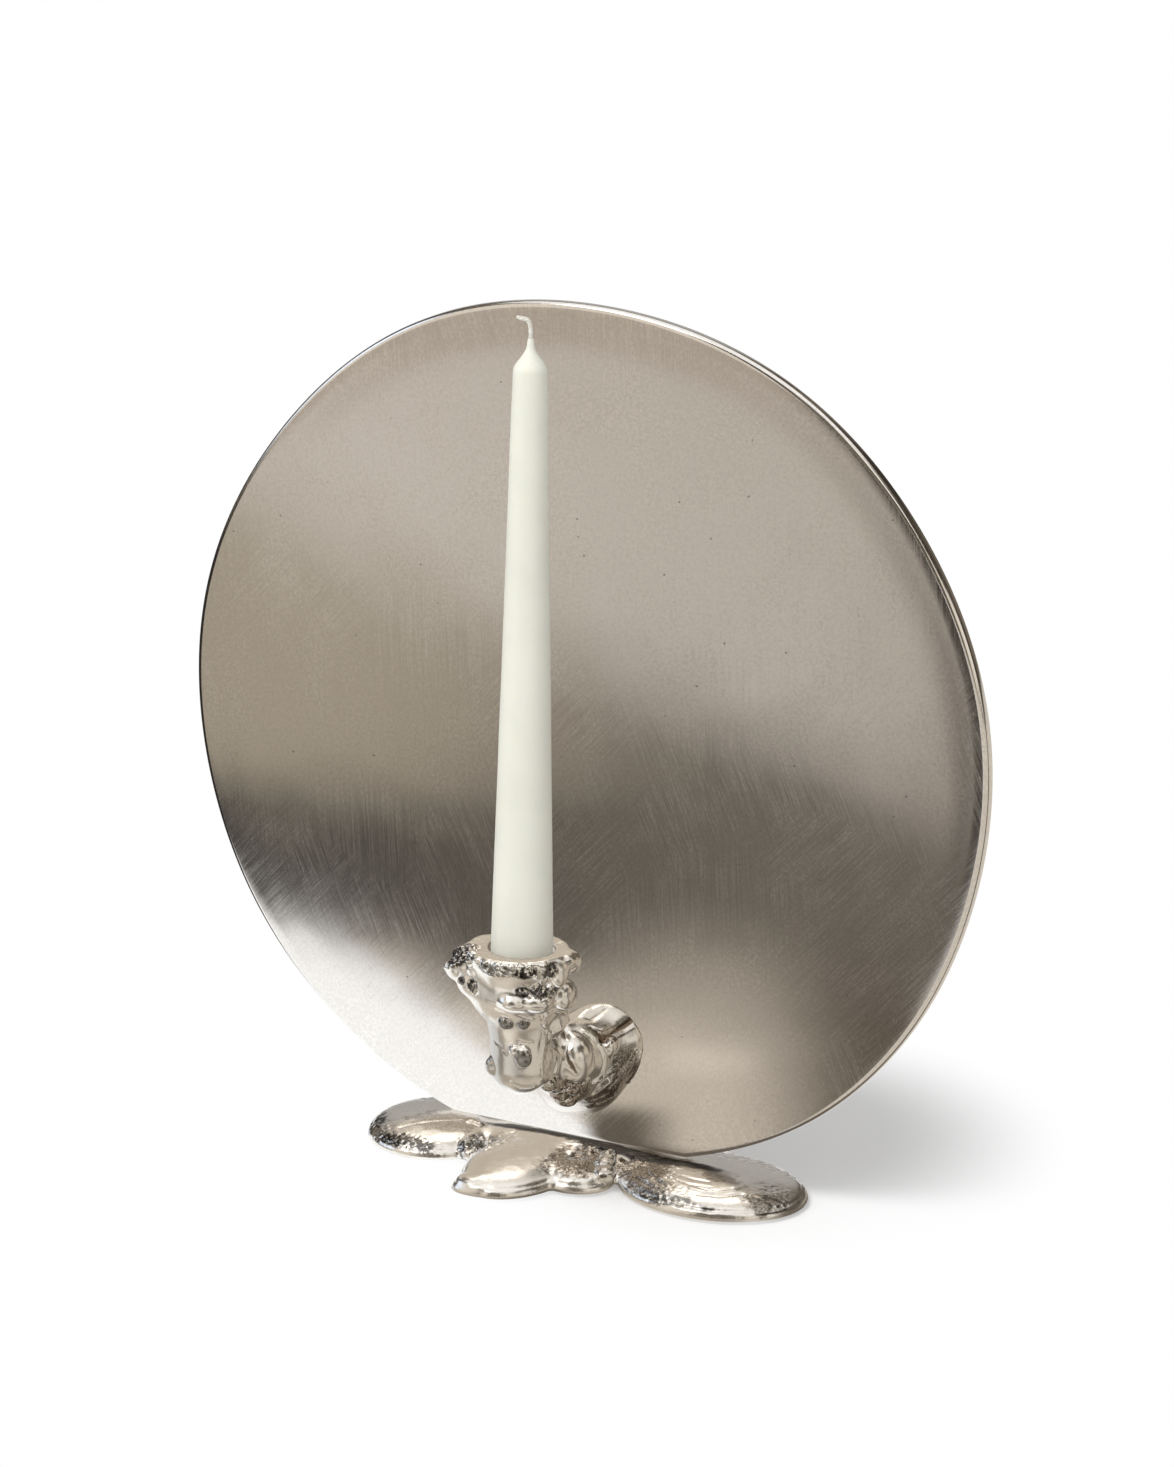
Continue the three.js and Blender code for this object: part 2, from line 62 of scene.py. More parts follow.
SEAT_Z = 9.0
DISC_PLANE_Y = 7.0
DISC_FRONT_Y, DISC_BACK_Y = 4.0, 10.0
DISC_CENTRE_Z = 160.62
FOOT_UNDERSIDE = 1.0
LOBE_RIM = 3.0
FOOT_THICKNESS = 8.0
TONGUE_BACK_Y = 18.0
TONGUE_TOP_RADIUS = 15.0
BOSS_X, BOSS_Z = 9.0, 41.0
BOSS_HALF_WIDTH, BOSS_HALF_HEIGHT, BOSS_LEAN = 18.8, 22.4, 0.29
ARM_END_Z, ARM_END_RADIUS = 51.0, 9.0
SCREW_HEIGHTS = (31.0, 51.0)
SCREW_HOLE_RADIUS = 2.8
SCREW_BITE = 11.3
CUP_X, CUP_Y = 2.5, -40.0
CUP_BASE_Z, CUP_TOP_Z = 40.5, 97.0
SOCKET_RADIUS, SOCKET_FLOOR_Z = 11.7, 74.0
SOCKET_DISH_WIDTH, SOCKET_DISH_DEPTH = 4.5, 1.0
RIM_LEAN, RIM_LEAN_ANGLE = 2.0, -110.0
BACK_FLAT, BACK_FLAT_ANGLE = 14.2, 125.0

# Surfaces made from distance fields. A field takes an (N, 3) array of points in millimetres, and gives how
# far each lies outside the surface.

TINY = 1e-6  # keeps divisions off zero
BLOCK = 7  # grid points along a block's side
FIELD_SLACK = 3.0  # how far a field may be off, away from its surface
GENTLE = 0.85  # keeps the field of a leaning wall from growing too fast
LEAST_SLOPE = 0.05  # that settling divides by
LONGEST_MOVE = 0.5  # of a point in one round of settling
CRUMPLE_HEIGHT = 1.6  # of ripples on ripples, all together
PEBBLE_STRAY, PEBBLE_GROOVE = 0.42, 1.6  # how far pebbles stray, and how sharply grooves part them
# Large odd numbers that turn a cell's place into a number that looks like chance.
SCATTER_X, SCATTER_Y, SCATTER_Z = 73856093, 19349663, 83492791
SCATTER_SEED, SCATTER_AGAIN = 2654435761, 1274126177


def blend_max(a, b, width):
    """The larger of two fields, rounded where they are nearly equal."""
    near = np.maximum(width - np.abs(a - b), 0) / width
    return np.maximum(a, b) + near * near * width / 4


def blend_min(a, b, width):
    """The smaller of two fields, rounded where they are nearly equal."""
    return -blend_max(-a, -b, width)


def ball(points, centre, radii):
    """A ball, or one flattened to three half sizes."""
    radii = np.asarray(radii, float)
    offset = points - np.asarray(centre, float)
    near = np.linalg.norm(offset / radii, axis=1)
    steep = np.linalg.norm(offset / radii**2, axis=1)
    return near * (near - 1) / np.maximum(steep, TINY)


def add_ball(field, points, centre, radii, width):
    """Melts a ball into a field, or cuts it out where width is negative."""
    reach = np.max(radii) + abs(width) + 1.0
    close = np.all(np.abs(points - np.asarray(centre, float)) < reach, axis=1)
    there, lump = field[close], ball(points[close], centre, radii)
    if width > 0:
        field[close] = blend_min(there, lump, width)
    else:
        field[close] = blend_max(there, -lump, -width)


def distance_to_line(points, line):
    """How far points lie from a line through given points."""
    nearest = np.full(len(points), 1e6)
    line = np.asarray(line, float)
    for start, end in zip(line[:-1], line[1:]):
        along = end - start
        share = np.clip((points - start) @ along / (along @ along), 0, 1)
        nearest = np.minimum(nearest, np.linalg.norm(points - start - share[:, None] * along, axis=1))
    return nearest


def soft_step(value, start, end):
    """From 0 at start to 1 at end, without corners."""
    share = np.clip((value - start) / (end - start), 0, 1)
    return share * share * (3 - 2 * share)


def lattice(cells, seed):
    """A number from -1 to 1 for each whole-numbered cell."""
    x, y, z = (cells[..., axis] for axis in range(3))
    mixed = x * SCATTER_X ^ y * SCATTER_Y ^ z * SCATTER_Z ^ seed * SCATTER_SEED
    mixed = (mixed ^ (mixed >> 13)) * SCATTER_AGAIN & 0x7FFFFFFF
    return ((mixed ^ (mixed >> 16)) & 0xFFFF) / 32767.5 - 1


def ripple(points, size, seed):
    """Smooth noise from -1 to 1 whose lumps are about size across."""
    place = points / size
    cell = np.floor(place).astype(np.int64)
    part = place - cell
    ease = part**3 * (part * (part * 6 - 15) + 10)
    total = np.zeros(len(points))
    for corner in np.ndindex(2, 2, 2):
        weight = np.prod(np.where(corner, ease, 1 - ease), axis=1)
        total += weight * lattice(cell + np.array(corner), seed)
    return total


def crumple(points, size, octaves, seed):
    """Ripples on ripples, each half the size of the last, from about -1 to 1."""
    return sum(ripple(points, size / 2**i, seed + i) / 2**i for i in range(octaves)) / CRUMPLE_HEIGHT


def pebbles(points, size, seed):
    """From 0 at the middle of a pebble to about 1 in the grooves between pebbles of one size."""
    place = points / size
    cell = np.floor(place).astype(np.int64)
    first = np.full(len(points), 9.0)
    second = first.copy()
    for step in np.ndindex(3, 3, 3):
        near = cell + np.array(step) - 1
        middle = near + 0.5 + PEBBLE_STRAY * np.stack([lattice(near, seed + i) for i in range(3)], axis=1)
        gap = np.linalg.norm(place - middle, axis=1)
        second = np.minimum(second, np.maximum(gap, first))
        first = np.minimum(first, gap)
    return np.clip(1 - (second - first) * PEBBLE_GROOVE, 0, 1)


def grid(sides):
    """Every point of a grid, from the points along each side."""
    return np.stack(np.meshgrid(*sides, indexing="ij"), -1).reshape(-1, 3)


def sample(field, low, blocks, step):
    """The field on a grid. Blocks of the grid far from the surface take one value each."""
    corners = grid([np.arange(count) * BLOCK for count in blocks])
    rough = field(low + (corners + BLOCK / 2) * step)
    values = rough.reshape(blocks).astype(np.float32)
    for axis in range(3):
        values = values.repeat(BLOCK, axis)
    near = corners[np.abs(rough) < BLOCK * step * 1.1 + FIELD_SLACK]
    cells = (near[:, None] + grid([np.arange(BLOCK)] * 3)).reshape(-1, 3)
    values[tuple(cells.T)] = field(low + cells * step)
    return values


def at_corner(values, corner):
    """The values at one corner of each of a grid's cells."""
    return values[tuple(slice(first, first + count - 1) for first, count in zip(corner, values.shape))]


def crossings(values):
    """The cells that a surface passes through, and where in each its middle lies, in grid steps."""
    corners = list(np.ndindex(2, 2, 2))
    inside = sum(at_corner(values, corner) < 0 for corner in corners)
    cells = np.argwhere((inside > 0) & (inside < len(corners)))
    total, count = np.zeros((len(cells), 3)), np.zeros(len(cells))
    for first in corners:
        for axis in range(3):
            if first[axis]:
                continue
            second = np.array(first)
            second[axis] = 1
            start, end = values[tuple((cells + first).T)], values[tuple((cells + second).T)]
            crossed = (start < 0) != (end < 0)
            share = np.where(crossed, start / np.where(crossed, start - end, 1), 0)
            place = np.array(first) + share[:, None] * (second - np.array(first))
            total += np.where(crossed[:, None], place, 0)
            count += crossed
    return cells, cells + total / count[:, None]


def skin(values, low, step):
    """Points and four-sided faces of the surface through a sampled field."""
    cells, places = crossings(values)
    cell_counts = np.array(values.shape) - 1
    index = np.full(cell_counts, -1)
    index[tuple(cells.T)] = np.arange(len(cells))
    faces = []
    for axis in range(3):
        side, up = (axis + 1) % 3, (axis + 2) % 3
        ahead = np.roll(values, -1, axis)
        edges = np.argwhere((values < 0) != (ahead < 0))
        edges = edges[(edges[:, axis] < cell_counts[axis]) & (edges[:, side] > 0) & (edges[:, up] > 0)]
        edges = edges[(edges[:, side] < cell_counts[side]) & (edges[:, up] < cell_counts[up])]
        round_edge = []
        for back_side, back_up in ((0, 0), (1, 0), (1, 1), (0, 1)):
            cell = edges.copy()
            cell[:, side] -= back_side
            cell[:, up] -= back_up
            round_edge.append(index[tuple(cell.T)])
        quads = np.stack(round_edge, 1)
        outwards = values[tuple(edges.T)] < 0
        faces.append(np.where(outwards[:, None], quads, quads[:, ::-1]))
    return low + places * step, np.concatenate(faces)


def slopes(field, points, reach=0.05):
    """The field's outward direction at each point, with its steepness."""
    grown = []
    for axis in range(3):
        shift = np.zeros(3)
        shift[axis] = reach
        grown.append((field(points + shift) - field(points - shift)) / (2 * reach))
    return np.stack(grown, 1)


def settle(field, points, rounds=3):
    """Moves points on to the field's surface, and gives its outward direction there."""
    for _ in range(rounds):
        slope = slopes(field, points)
        steep = np.maximum((slope**2).sum(1), LEAST_SLOPE)
        points = points - np.clip(field(points) / steep, -LONGEST_MOVE, LONGEST_MOVE)[:, None] * slope
    slope = slopes(field, points)
    return points, slope / np.maximum(np.linalg.norm(slope, axis=1), TINY)[:, None]


def field_skin(field, box, step):
    """Points, faces and outward directions of a field's surface, inside a box of two corners."""
    low, high = np.array(box, float)
    blocks = np.ceil((high - low) / step / BLOCK).astype(int)
    points, faces = skin(sample(field, low, blocks, step), low, step)
    points, outwards = settle(field, points)
    return points, faces, outwards


def lid(ends, turn):
    """Four-sided faces across a closed ring of points, turned to face one way or the other."""
    count = len(ends)
    first = np.arange(count // 2 - 1)
    across = [ends[first], ends[first + 1], ends[count - 2 - first], ends[count - 1 - first]]
    return np.stack(across, 1)[:, ::turn]


def tube_faces(rows, sides):
    """Faces that join rows of points round a tube, with a lid on both ends."""
    ring = np.arange(sides)
    ahead = np.roll(ring, -1)
    faces = []
    for start in np.arange(rows - 1) * sides:
        end = start + sides
        faces.append(np.stack([start + ring, start + ahead, end + ahead, end + ring], 1))
    faces += [lid(ring, -1), lid((rows - 1) * sides + ring, 1)]
    return np.concatenate(faces)


def mesh_object(name, points, faces, material):
    """An object from points in millimetres, smoothly shaded."""
    if not len(points) or not len(faces):
        raise RuntimeError(f"{name} has no surface")
    mesh = bpy.data.meshes.new(name)
    faces = np.asarray(faces)
    mesh.vertices.add(len(points))
    mesh.vertices.foreach_set("co", (np.asarray(points) * MM).astype(np.float32).ravel())
    mesh.loops.add(faces.size)
    mesh.loops.foreach_set("vertex_index", faces.astype(np.int32).ravel())
    mesh.polygons.add(len(faces))
    mesh.polygons.foreach_set("loop_start", np.arange(len(faces), dtype=np.int32) * faces.shape[1])
    mesh.update(calc_edges=True)
    mesh.validate()
    mesh.shade_smooth()
    mesh.materials.append(material)
    made = bpy.data.objects.new(name, mesh)
    bpy.context.scene.collection.objects.link(made)
    return made


def add_layer(made, name, values):
    """Keeps a number from 0 to 1 for each point, for the material."""
    layer = made.data.attributes.new(name, "FLOAT", "POINT")
    layer.data.foreach_set("value", np.clip(values, 0, 1).astype(np.float32))


def smoothed(table, column, window=0.035, steps=241):
    """A table's column over its first one, with its corners rounded."""
    fine = np.linspace(table[0, 0], table[-1, 0], steps)
    values = np.interp(fine, table[:, 0], table[:, column])
    bell = np.exp(-(((fine[:, None] - fine) / window) ** 2))
    return fine, (bell @ values) / bell.sum(1)


# Material nodes


class Recipe:
    """Builds a node tree. Its calls return output sockets, and take sockets or plain values as inputs."""

    def __init__(self, owner):
        owner.use_nodes = True
        self.tree = owner.node_tree
        self.tree.nodes.clear()

    def fill(self, socket, value):
        """Links an output to a socket, or sets its plain value. A colour may have three numbers."""
        if isinstance(value, bpy.types.NodeSocket):
            self.tree.links.new(value, socket)
        elif value is not None:
            opaque = socket.type == "RGBA" and len(value) == 3
            socket.default_value = (*value, 1.0) if opaque else value

    def node(self, kind, *inputs, output=0, sockets=None, **settings):
        """Adds a node with its inputs in order, or by name in sockets, and gives one of its outputs."""
        node = self.tree.nodes.new("ShaderNode" + kind)
        for key, value in settings.items():
            setattr(node, key, value)
        for key, value in [*enumerate(inputs), *(sockets or {}).items()]:
            self.fill(node.inputs[key], value)
        return node.outputs[output] if node.outputs else node

    def place(self):
        """Where a point lies, in metres."""
        return self.node("TexCoord", output="Object")

    def layer(self, name):
        """A number that the piece keeps for each of its points."""
        return self.node("Attribute", attribute_name=name, output="Fac")

    def plus(self, first, second):
        return self.node("Math", first, second, operation="ADD")

    def minus(self, first, second):
        return self.node("Math", first, second, operation="SUBTRACT")

    def times(self, first, second):
        return self.node("Math", first, second, operation="MULTIPLY")

    def larger(self, first, second):
        return self.node("Math", first, second, operation="MAXIMUM")

    def absolute(self, value):
        return self.node("Math", value, operation="ABSOLUTE")

    def along(self, place, axis):
        """How far a place lies along an axis."""
        return self.node("VectorMath", place, tuple(axis), operation="DOT_PRODUCT", output="Value")

    def gap(self, place, middle):
        """How far a place lies from a middle."""
        return self.node("VectorMath", place, middle, operation="DISTANCE", output="Value")

    def turned(self, place, angle, scale):
        """Coordinates turned about Y, then stretched."""
        upright = self.node("Mapping", sockets={"Vector": place, "Rotation": (0, math.radians(angle), 0)})
        return self.node("Mapping", sockets={"Vector": upright, "Scale": scale})

    def noise(self, place, scale, detail=2.0, roughness=0.5):
        inputs = {"Vector": place, "Scale": scale, "Detail": detail, "Roughness": roughness}
        return self.node("TexNoise", sockets=inputs)

    def streaks(self, place, angle, scale, detail):
        """Noise drawn out along a direction."""
        return self.noise(self.turned(place, angle, scale), 1.0, detail, 0.6)

    def spread(self, value, low, high, to_low=0.0, to_high=1.0):
        """Passes softly from one value to another while the input runs from low to high."""
        return self.node("MapRange", value, low, high, to_low, to_high, interpolation_type="SMOOTHSTEP")

    def mix(self, share, first, second, kind="RGBA"):
        """The first where share is 0, the second where it is 1."""
        ending = {"RGBA": "Color", "FLOAT": "Float"}[kind]
        node = self.tree.nodes.new("ShaderNodeMix")
        node.data_type = kind
        by_name = {socket.identifier: socket for socket in [*node.inputs, *node.outputs]}
        self.fill(by_name["Factor_Float"], share)
        self.fill(by_name["A_" + ending], first)
        self.fill(by_name["B_" + ending], second)
        return by_name["Result_" + ending]

    def bump(self, height, strength, distance, normal=None):
        sockets = {"Strength": strength, "Distance": distance, "Height": height, "Normal": normal}
        return self.node("Bump", sockets=sockets)

    def surface(self, tone, rough, bump, **sockets):
        """Ends the tree with a principled shader. Further sockets are named with _ for each space."""
        named = {name.replace("_", " "): value for name, value in sockets.items()}
        named.update({"Base Color": tone, "Roughness": rough, "Normal": bump})
        self.finish(self.node("BsdfPrincipled", sockets=named))

    def finish(self, shader):
        """Ends the tree with a shader."""
        self.node("OutputMaterial", shader)


def new_recipe(name):
    """A new material, and the recipe of its node tree."""
    material = bpy.data.materials.new(name)
    return material, Recipe(material)


def rgba(colour, factor=1.0):
    """A colour, brightened or dimmed, and at most white."""
    return (*[min(c * factor, 1.0) for c in colour[:3]], 1.0)


def clouded(make, cloud, colour, dim, bright):
    """A colour that drifts between two strengths of itself."""
    return make.mix(make.spread(cloud, 0.3, 0.7), rgba(colour, dim), rgba(colour, bright))


# Brush strokes on the disc: turn in degrees, how close they lie along X, Y and Z, and detail.
FALLING_STROKES = (-42, (2300, 60, 60), 3.0)
RISING_STROKES = (24, (2100, 60, 55), 3.0)
UPRIGHT_STROKES = (4, (1900, 60, 40), 2.0)


def brushed_nickel(settings):
    """Satin metal with fine crossing brush strokes, a few dark pits and a cloudy tone."""
    material, make = new_recipe("brushed_nickel_finish")
    place = make.place()
    falling, rising = make.streaks(place, *FALLING_STROKES), make.streaks(place, *RISING_STROKES)
    upright = make.streaks(place, *UPRIGHT_STROKES)
    strokes = make.mix(make.spread(make.noise(place, 16.0), 0.42, 0.58), falling, rising, "FLOAT")
    strokes = make.mix(make.spread(make.noise(place, 11.0, 1.0), 0.45, 0.62), strokes, upright, "FLOAT")
    grit = make.noise(place, 760.0, 3.0, 0.75)
    cloud = make.noise(place, 30.0, 5.0, 0.65)
    pits = make.spread(make.node("TexVoronoi", sockets={"Vector": place, "Scale": 150.0}), 0.04, 0.075)
    rare = make.spread(make.noise(place, 45.0, 1.0), 0.52, 0.56)
    pits = make.larger(pits, make.minus(1.0, rare))
    tone = clouded(make, cloud, settings.colour, 0.93, 1.04)
    tone = make.mix(make.spread(strokes, 0.38, 0.62), rgba(settings.colour, 0.9), tone)
    tone = make.mix(make.spread(grit, 0.42, 0.6), tone, rgba(settings.colour, 0.865))
    tone = make.mix(pits, rgba(settings.colour, 0.5), tone)
    rough = make.plus(make.spread(strokes, 0.25, 0.75, -0.05, 0.05), settings.roughness)
    rough = make.plus(rough, make.spread(cloud, 0.3, 0.7, -0.025, 0.03))
    bump = make.bump(strokes, 0.018, 0.00006)
    bump = make.bump(grit, 0.03, 0.00003, bump)
    bump = make.bump(pits, 0.3, 0.00008, bump)
    make.surface(tone, rough, bump, Metallic=1.0)
    return material


def polished_nickel(settings):
    """Satin cast metal, brown down in its hollows, with painted shade, and painted dark reflections, black
    and shiny, on its crumbs.
    """
    material, make = new_recipe("polished_nickel_finish")
    place = make.place()
    hollow, brown, painted_dark_reflection, painted_shade = (make.layer(name) for name in ("hollow", "brown", "painted_dark_reflection", "painted_shade"))
    cloud = make.noise(place, 90.0, 4.0, 0.6)
    grain = make.noise(place, 900.0, 3.0, 0.62)
    fleck = make.noise(place, 1300.0, 3.0, 0.7)
    facet = make.spread(make.noise(place, 520.0, 4.0, 0.65), 0.43, 0.49)
    deep = make.spread(make.plus(hollow, make.spread(cloud, 0.35, 0.75, -0.15, 0.15)), 0.25, 0.95)
    # The brown layer is partly patina and partly painted shade.
    brown_patina_and_shade = make.times(brown, make.spread(fleck, 0.4, 0.56, 0.45, 1.0))
    tone = clouded(make, cloud, settings.colour, 0.93, 1.03)
    tone = make.mix(make.times(make.spread(fleck, 0.6, 0.72), 0.25), tone, rgba(settings.patina_and_painted_shade_colour))
    tone = make.mix(make.larger(deep, brown_patina_and_shade), tone, rgba(settings.patina_and_painted_shade_colour))
    # Painted dark reflections on the crumbs, broken up into facets, and even painted shade.
    tone = make.mix(make.larger(make.times(painted_dark_reflection, facet), painted_shade), tone, rgba(settings.painted_dark_reflection_colour))
    rough = make.plus(make.spread(cloud, 0.35, 0.75, -0.03, 0.06), settings.roughness)
    rough = make.mix(make.larger(painted_dark_reflection, brown), rough, 0.13, "FLOAT")
    bump = make.bump(cloud, 0.25, 0.0004)
    bump = make.bump(grain, 0.12, 0.00012, bump)
    bump = make.bump(fleck, make.times(brown, 0.6), 0.0002, bump)
    make.surface(tone, rough, bump, Metallic=1.0)
    return material


def candle_wax(settings):
    """Dense white wax, slightly uneven, that lets some light in."""
    material, make = new_recipe("candle_wax_finish")
    place = make.place()
    cloud = make.noise(place, 35.0, 3.0, 0.55)
    drawn = make.streaks(place, 0, (260, 260, 40), 3.0)
    tone = clouded(make, cloud, settings.colour, 0.97, 1.02)
    rough = make.spread(cloud, 0.3, 0.7, 0.36, 0.46)
    bump = make.bump(cloud, 0.12, 0.0012)
    bump = make.bump(drawn, 0.05, 0.0003, bump)
    depth = {"Subsurface_Weight": 0.4, "Subsurface_Radius": (1.0, 0.85, 0.6), "Subsurface_Scale": 0.004}
    make.surface(tone, rough, bump, IOR=1.44, **depth)
    return material


def wick_cotton(settings):
    """Waxed cotton yarn, whiter where the wax lies thick."""
    material, make = new_recipe("wick_cotton_finish")
    place = make.place()
    yarn = make.noise(place, 1800.0, 3.0, 0.6)
    patch = make.noise(place, 400.0)
    tone = clouded(make, yarn, settings.wick_colour, 0.8, 1.05)
    tone = make.mix(make.spread(patch, 0.45, 0.6), tone, rgba(settings.colour, 1.02))
    rough = make.spread(patch, 0.4, 0.65, 0.8, 0.5)
    make.surface(tone, rough, make.bump(yarn, 0.4, 0.0001), Sheen_Weight=0.15)
    return material


def felt(settings):
    """Short matted wool."""
    material, make = new_recipe("felt_finish")
    place = make.place()
    wool = make.noise(place, 900.0, 5.0, 0.75)
    tufts = make.noise(place, 180.0, 3.0, 0.6)
    tone = clouded(make, wool, settings.pad_colour, 0.6, 1.5)
    tone = make.mix(make.spread(tufts, 0.35, 0.7, 0.0, 0.4), tone, rgba(settings.pad_colour, 1.9))
    rough = make.spread(wool, 0.3, 0.7, 0.88, 1.0)
    make.surface(tone, rough, make.bump(wool, 0.7, 0.0004), Sheen_Weight=0.35, Sheen_Roughness=0.6)
    return material


def plated_steel(settings):
    """Zinc-plated steel with turning marks round the screw's axis."""
    material, make = new_recipe("screw_steel_finish")
    place = make.place()
    cloud = make.noise(place, 260.0, 3.0)
    marks = make.noise(make.turned(place, 0, (300, 4000, 300)), 1.0)
    tone = clouded(make, cloud, settings.steel_colour, 0.85, 1.1)
    rough = make.plus(make.spread(cloud, 0.3, 0.7, 0.22, 0.36), make.spread(marks, 0.4, 0.6, 0.0, 0.08))
    make.surface(tone, rough, make.bump(marks, 0.15, 0.00005), Metallic=1.0)
    return material


# Arm and cup

CASTING_BOX = (-25, -64, 16), (33, 5.5, 99)

# Share of the cup's rise, and radius of its wall there.
CUP_WALLS = np.array([
    (0, 0), (0.05, 5.9), (0.11, 9.3), (0.19, 10.8), (0.4, 10.8), (0.52, 12), (0.6, 14.3), (0.7, 16),
    (0.8, 16), (0.88, 17.3), (0.93, 18.7), (0.97, 18.9), (1, 18.1),
])  # fmt: skip

# Lumps on the cup: direction from its axis in degrees from X, depth of the middle below the flange's top,
# reach beyond the wall, half height, half width.
CUP_LUMPS = [
    (-158, 5.4, 2, 4.4, 4.6), (-152, 9.6, 6.2, 3.4, 4), (-140, 12.6, 1.6, 4.2, 5), (12, 4.4, -0.8, 4.2, 4.2),
    (18, 17, -2, 6, 6.2), (34, 27, -2, 8, 6.6), (-42, 15.5, -1.6, 4, 6.2), (-74, 16, -1, 3, 4.6),
    (-146, 46, -2.2, 3, 3),
]  # fmt: skip

# Rings of the arm: share of the way from the disc to the cup's axis, and shares of the boss's width, height
# and lean and of the climb to the arm's end.
ARM_RINGS = np.array([
    (0, 1, 1, 1, 0), (0.06, 1.01, 1.01, 1, 0), (0.16, 0.94, 0.87, 0.9, 0.02), (0.3, 0.78, 0.63, 0.6, 0.25),
    (0.46, 0.55, 0.44, 0.3, 0.55), (0.62, 0.3, 0.26, 0.1, 0.8), (0.8, 0.12, 0.12, 0, 0.95), (1, 0, 0, 0, 1),
])  # fmt: skip

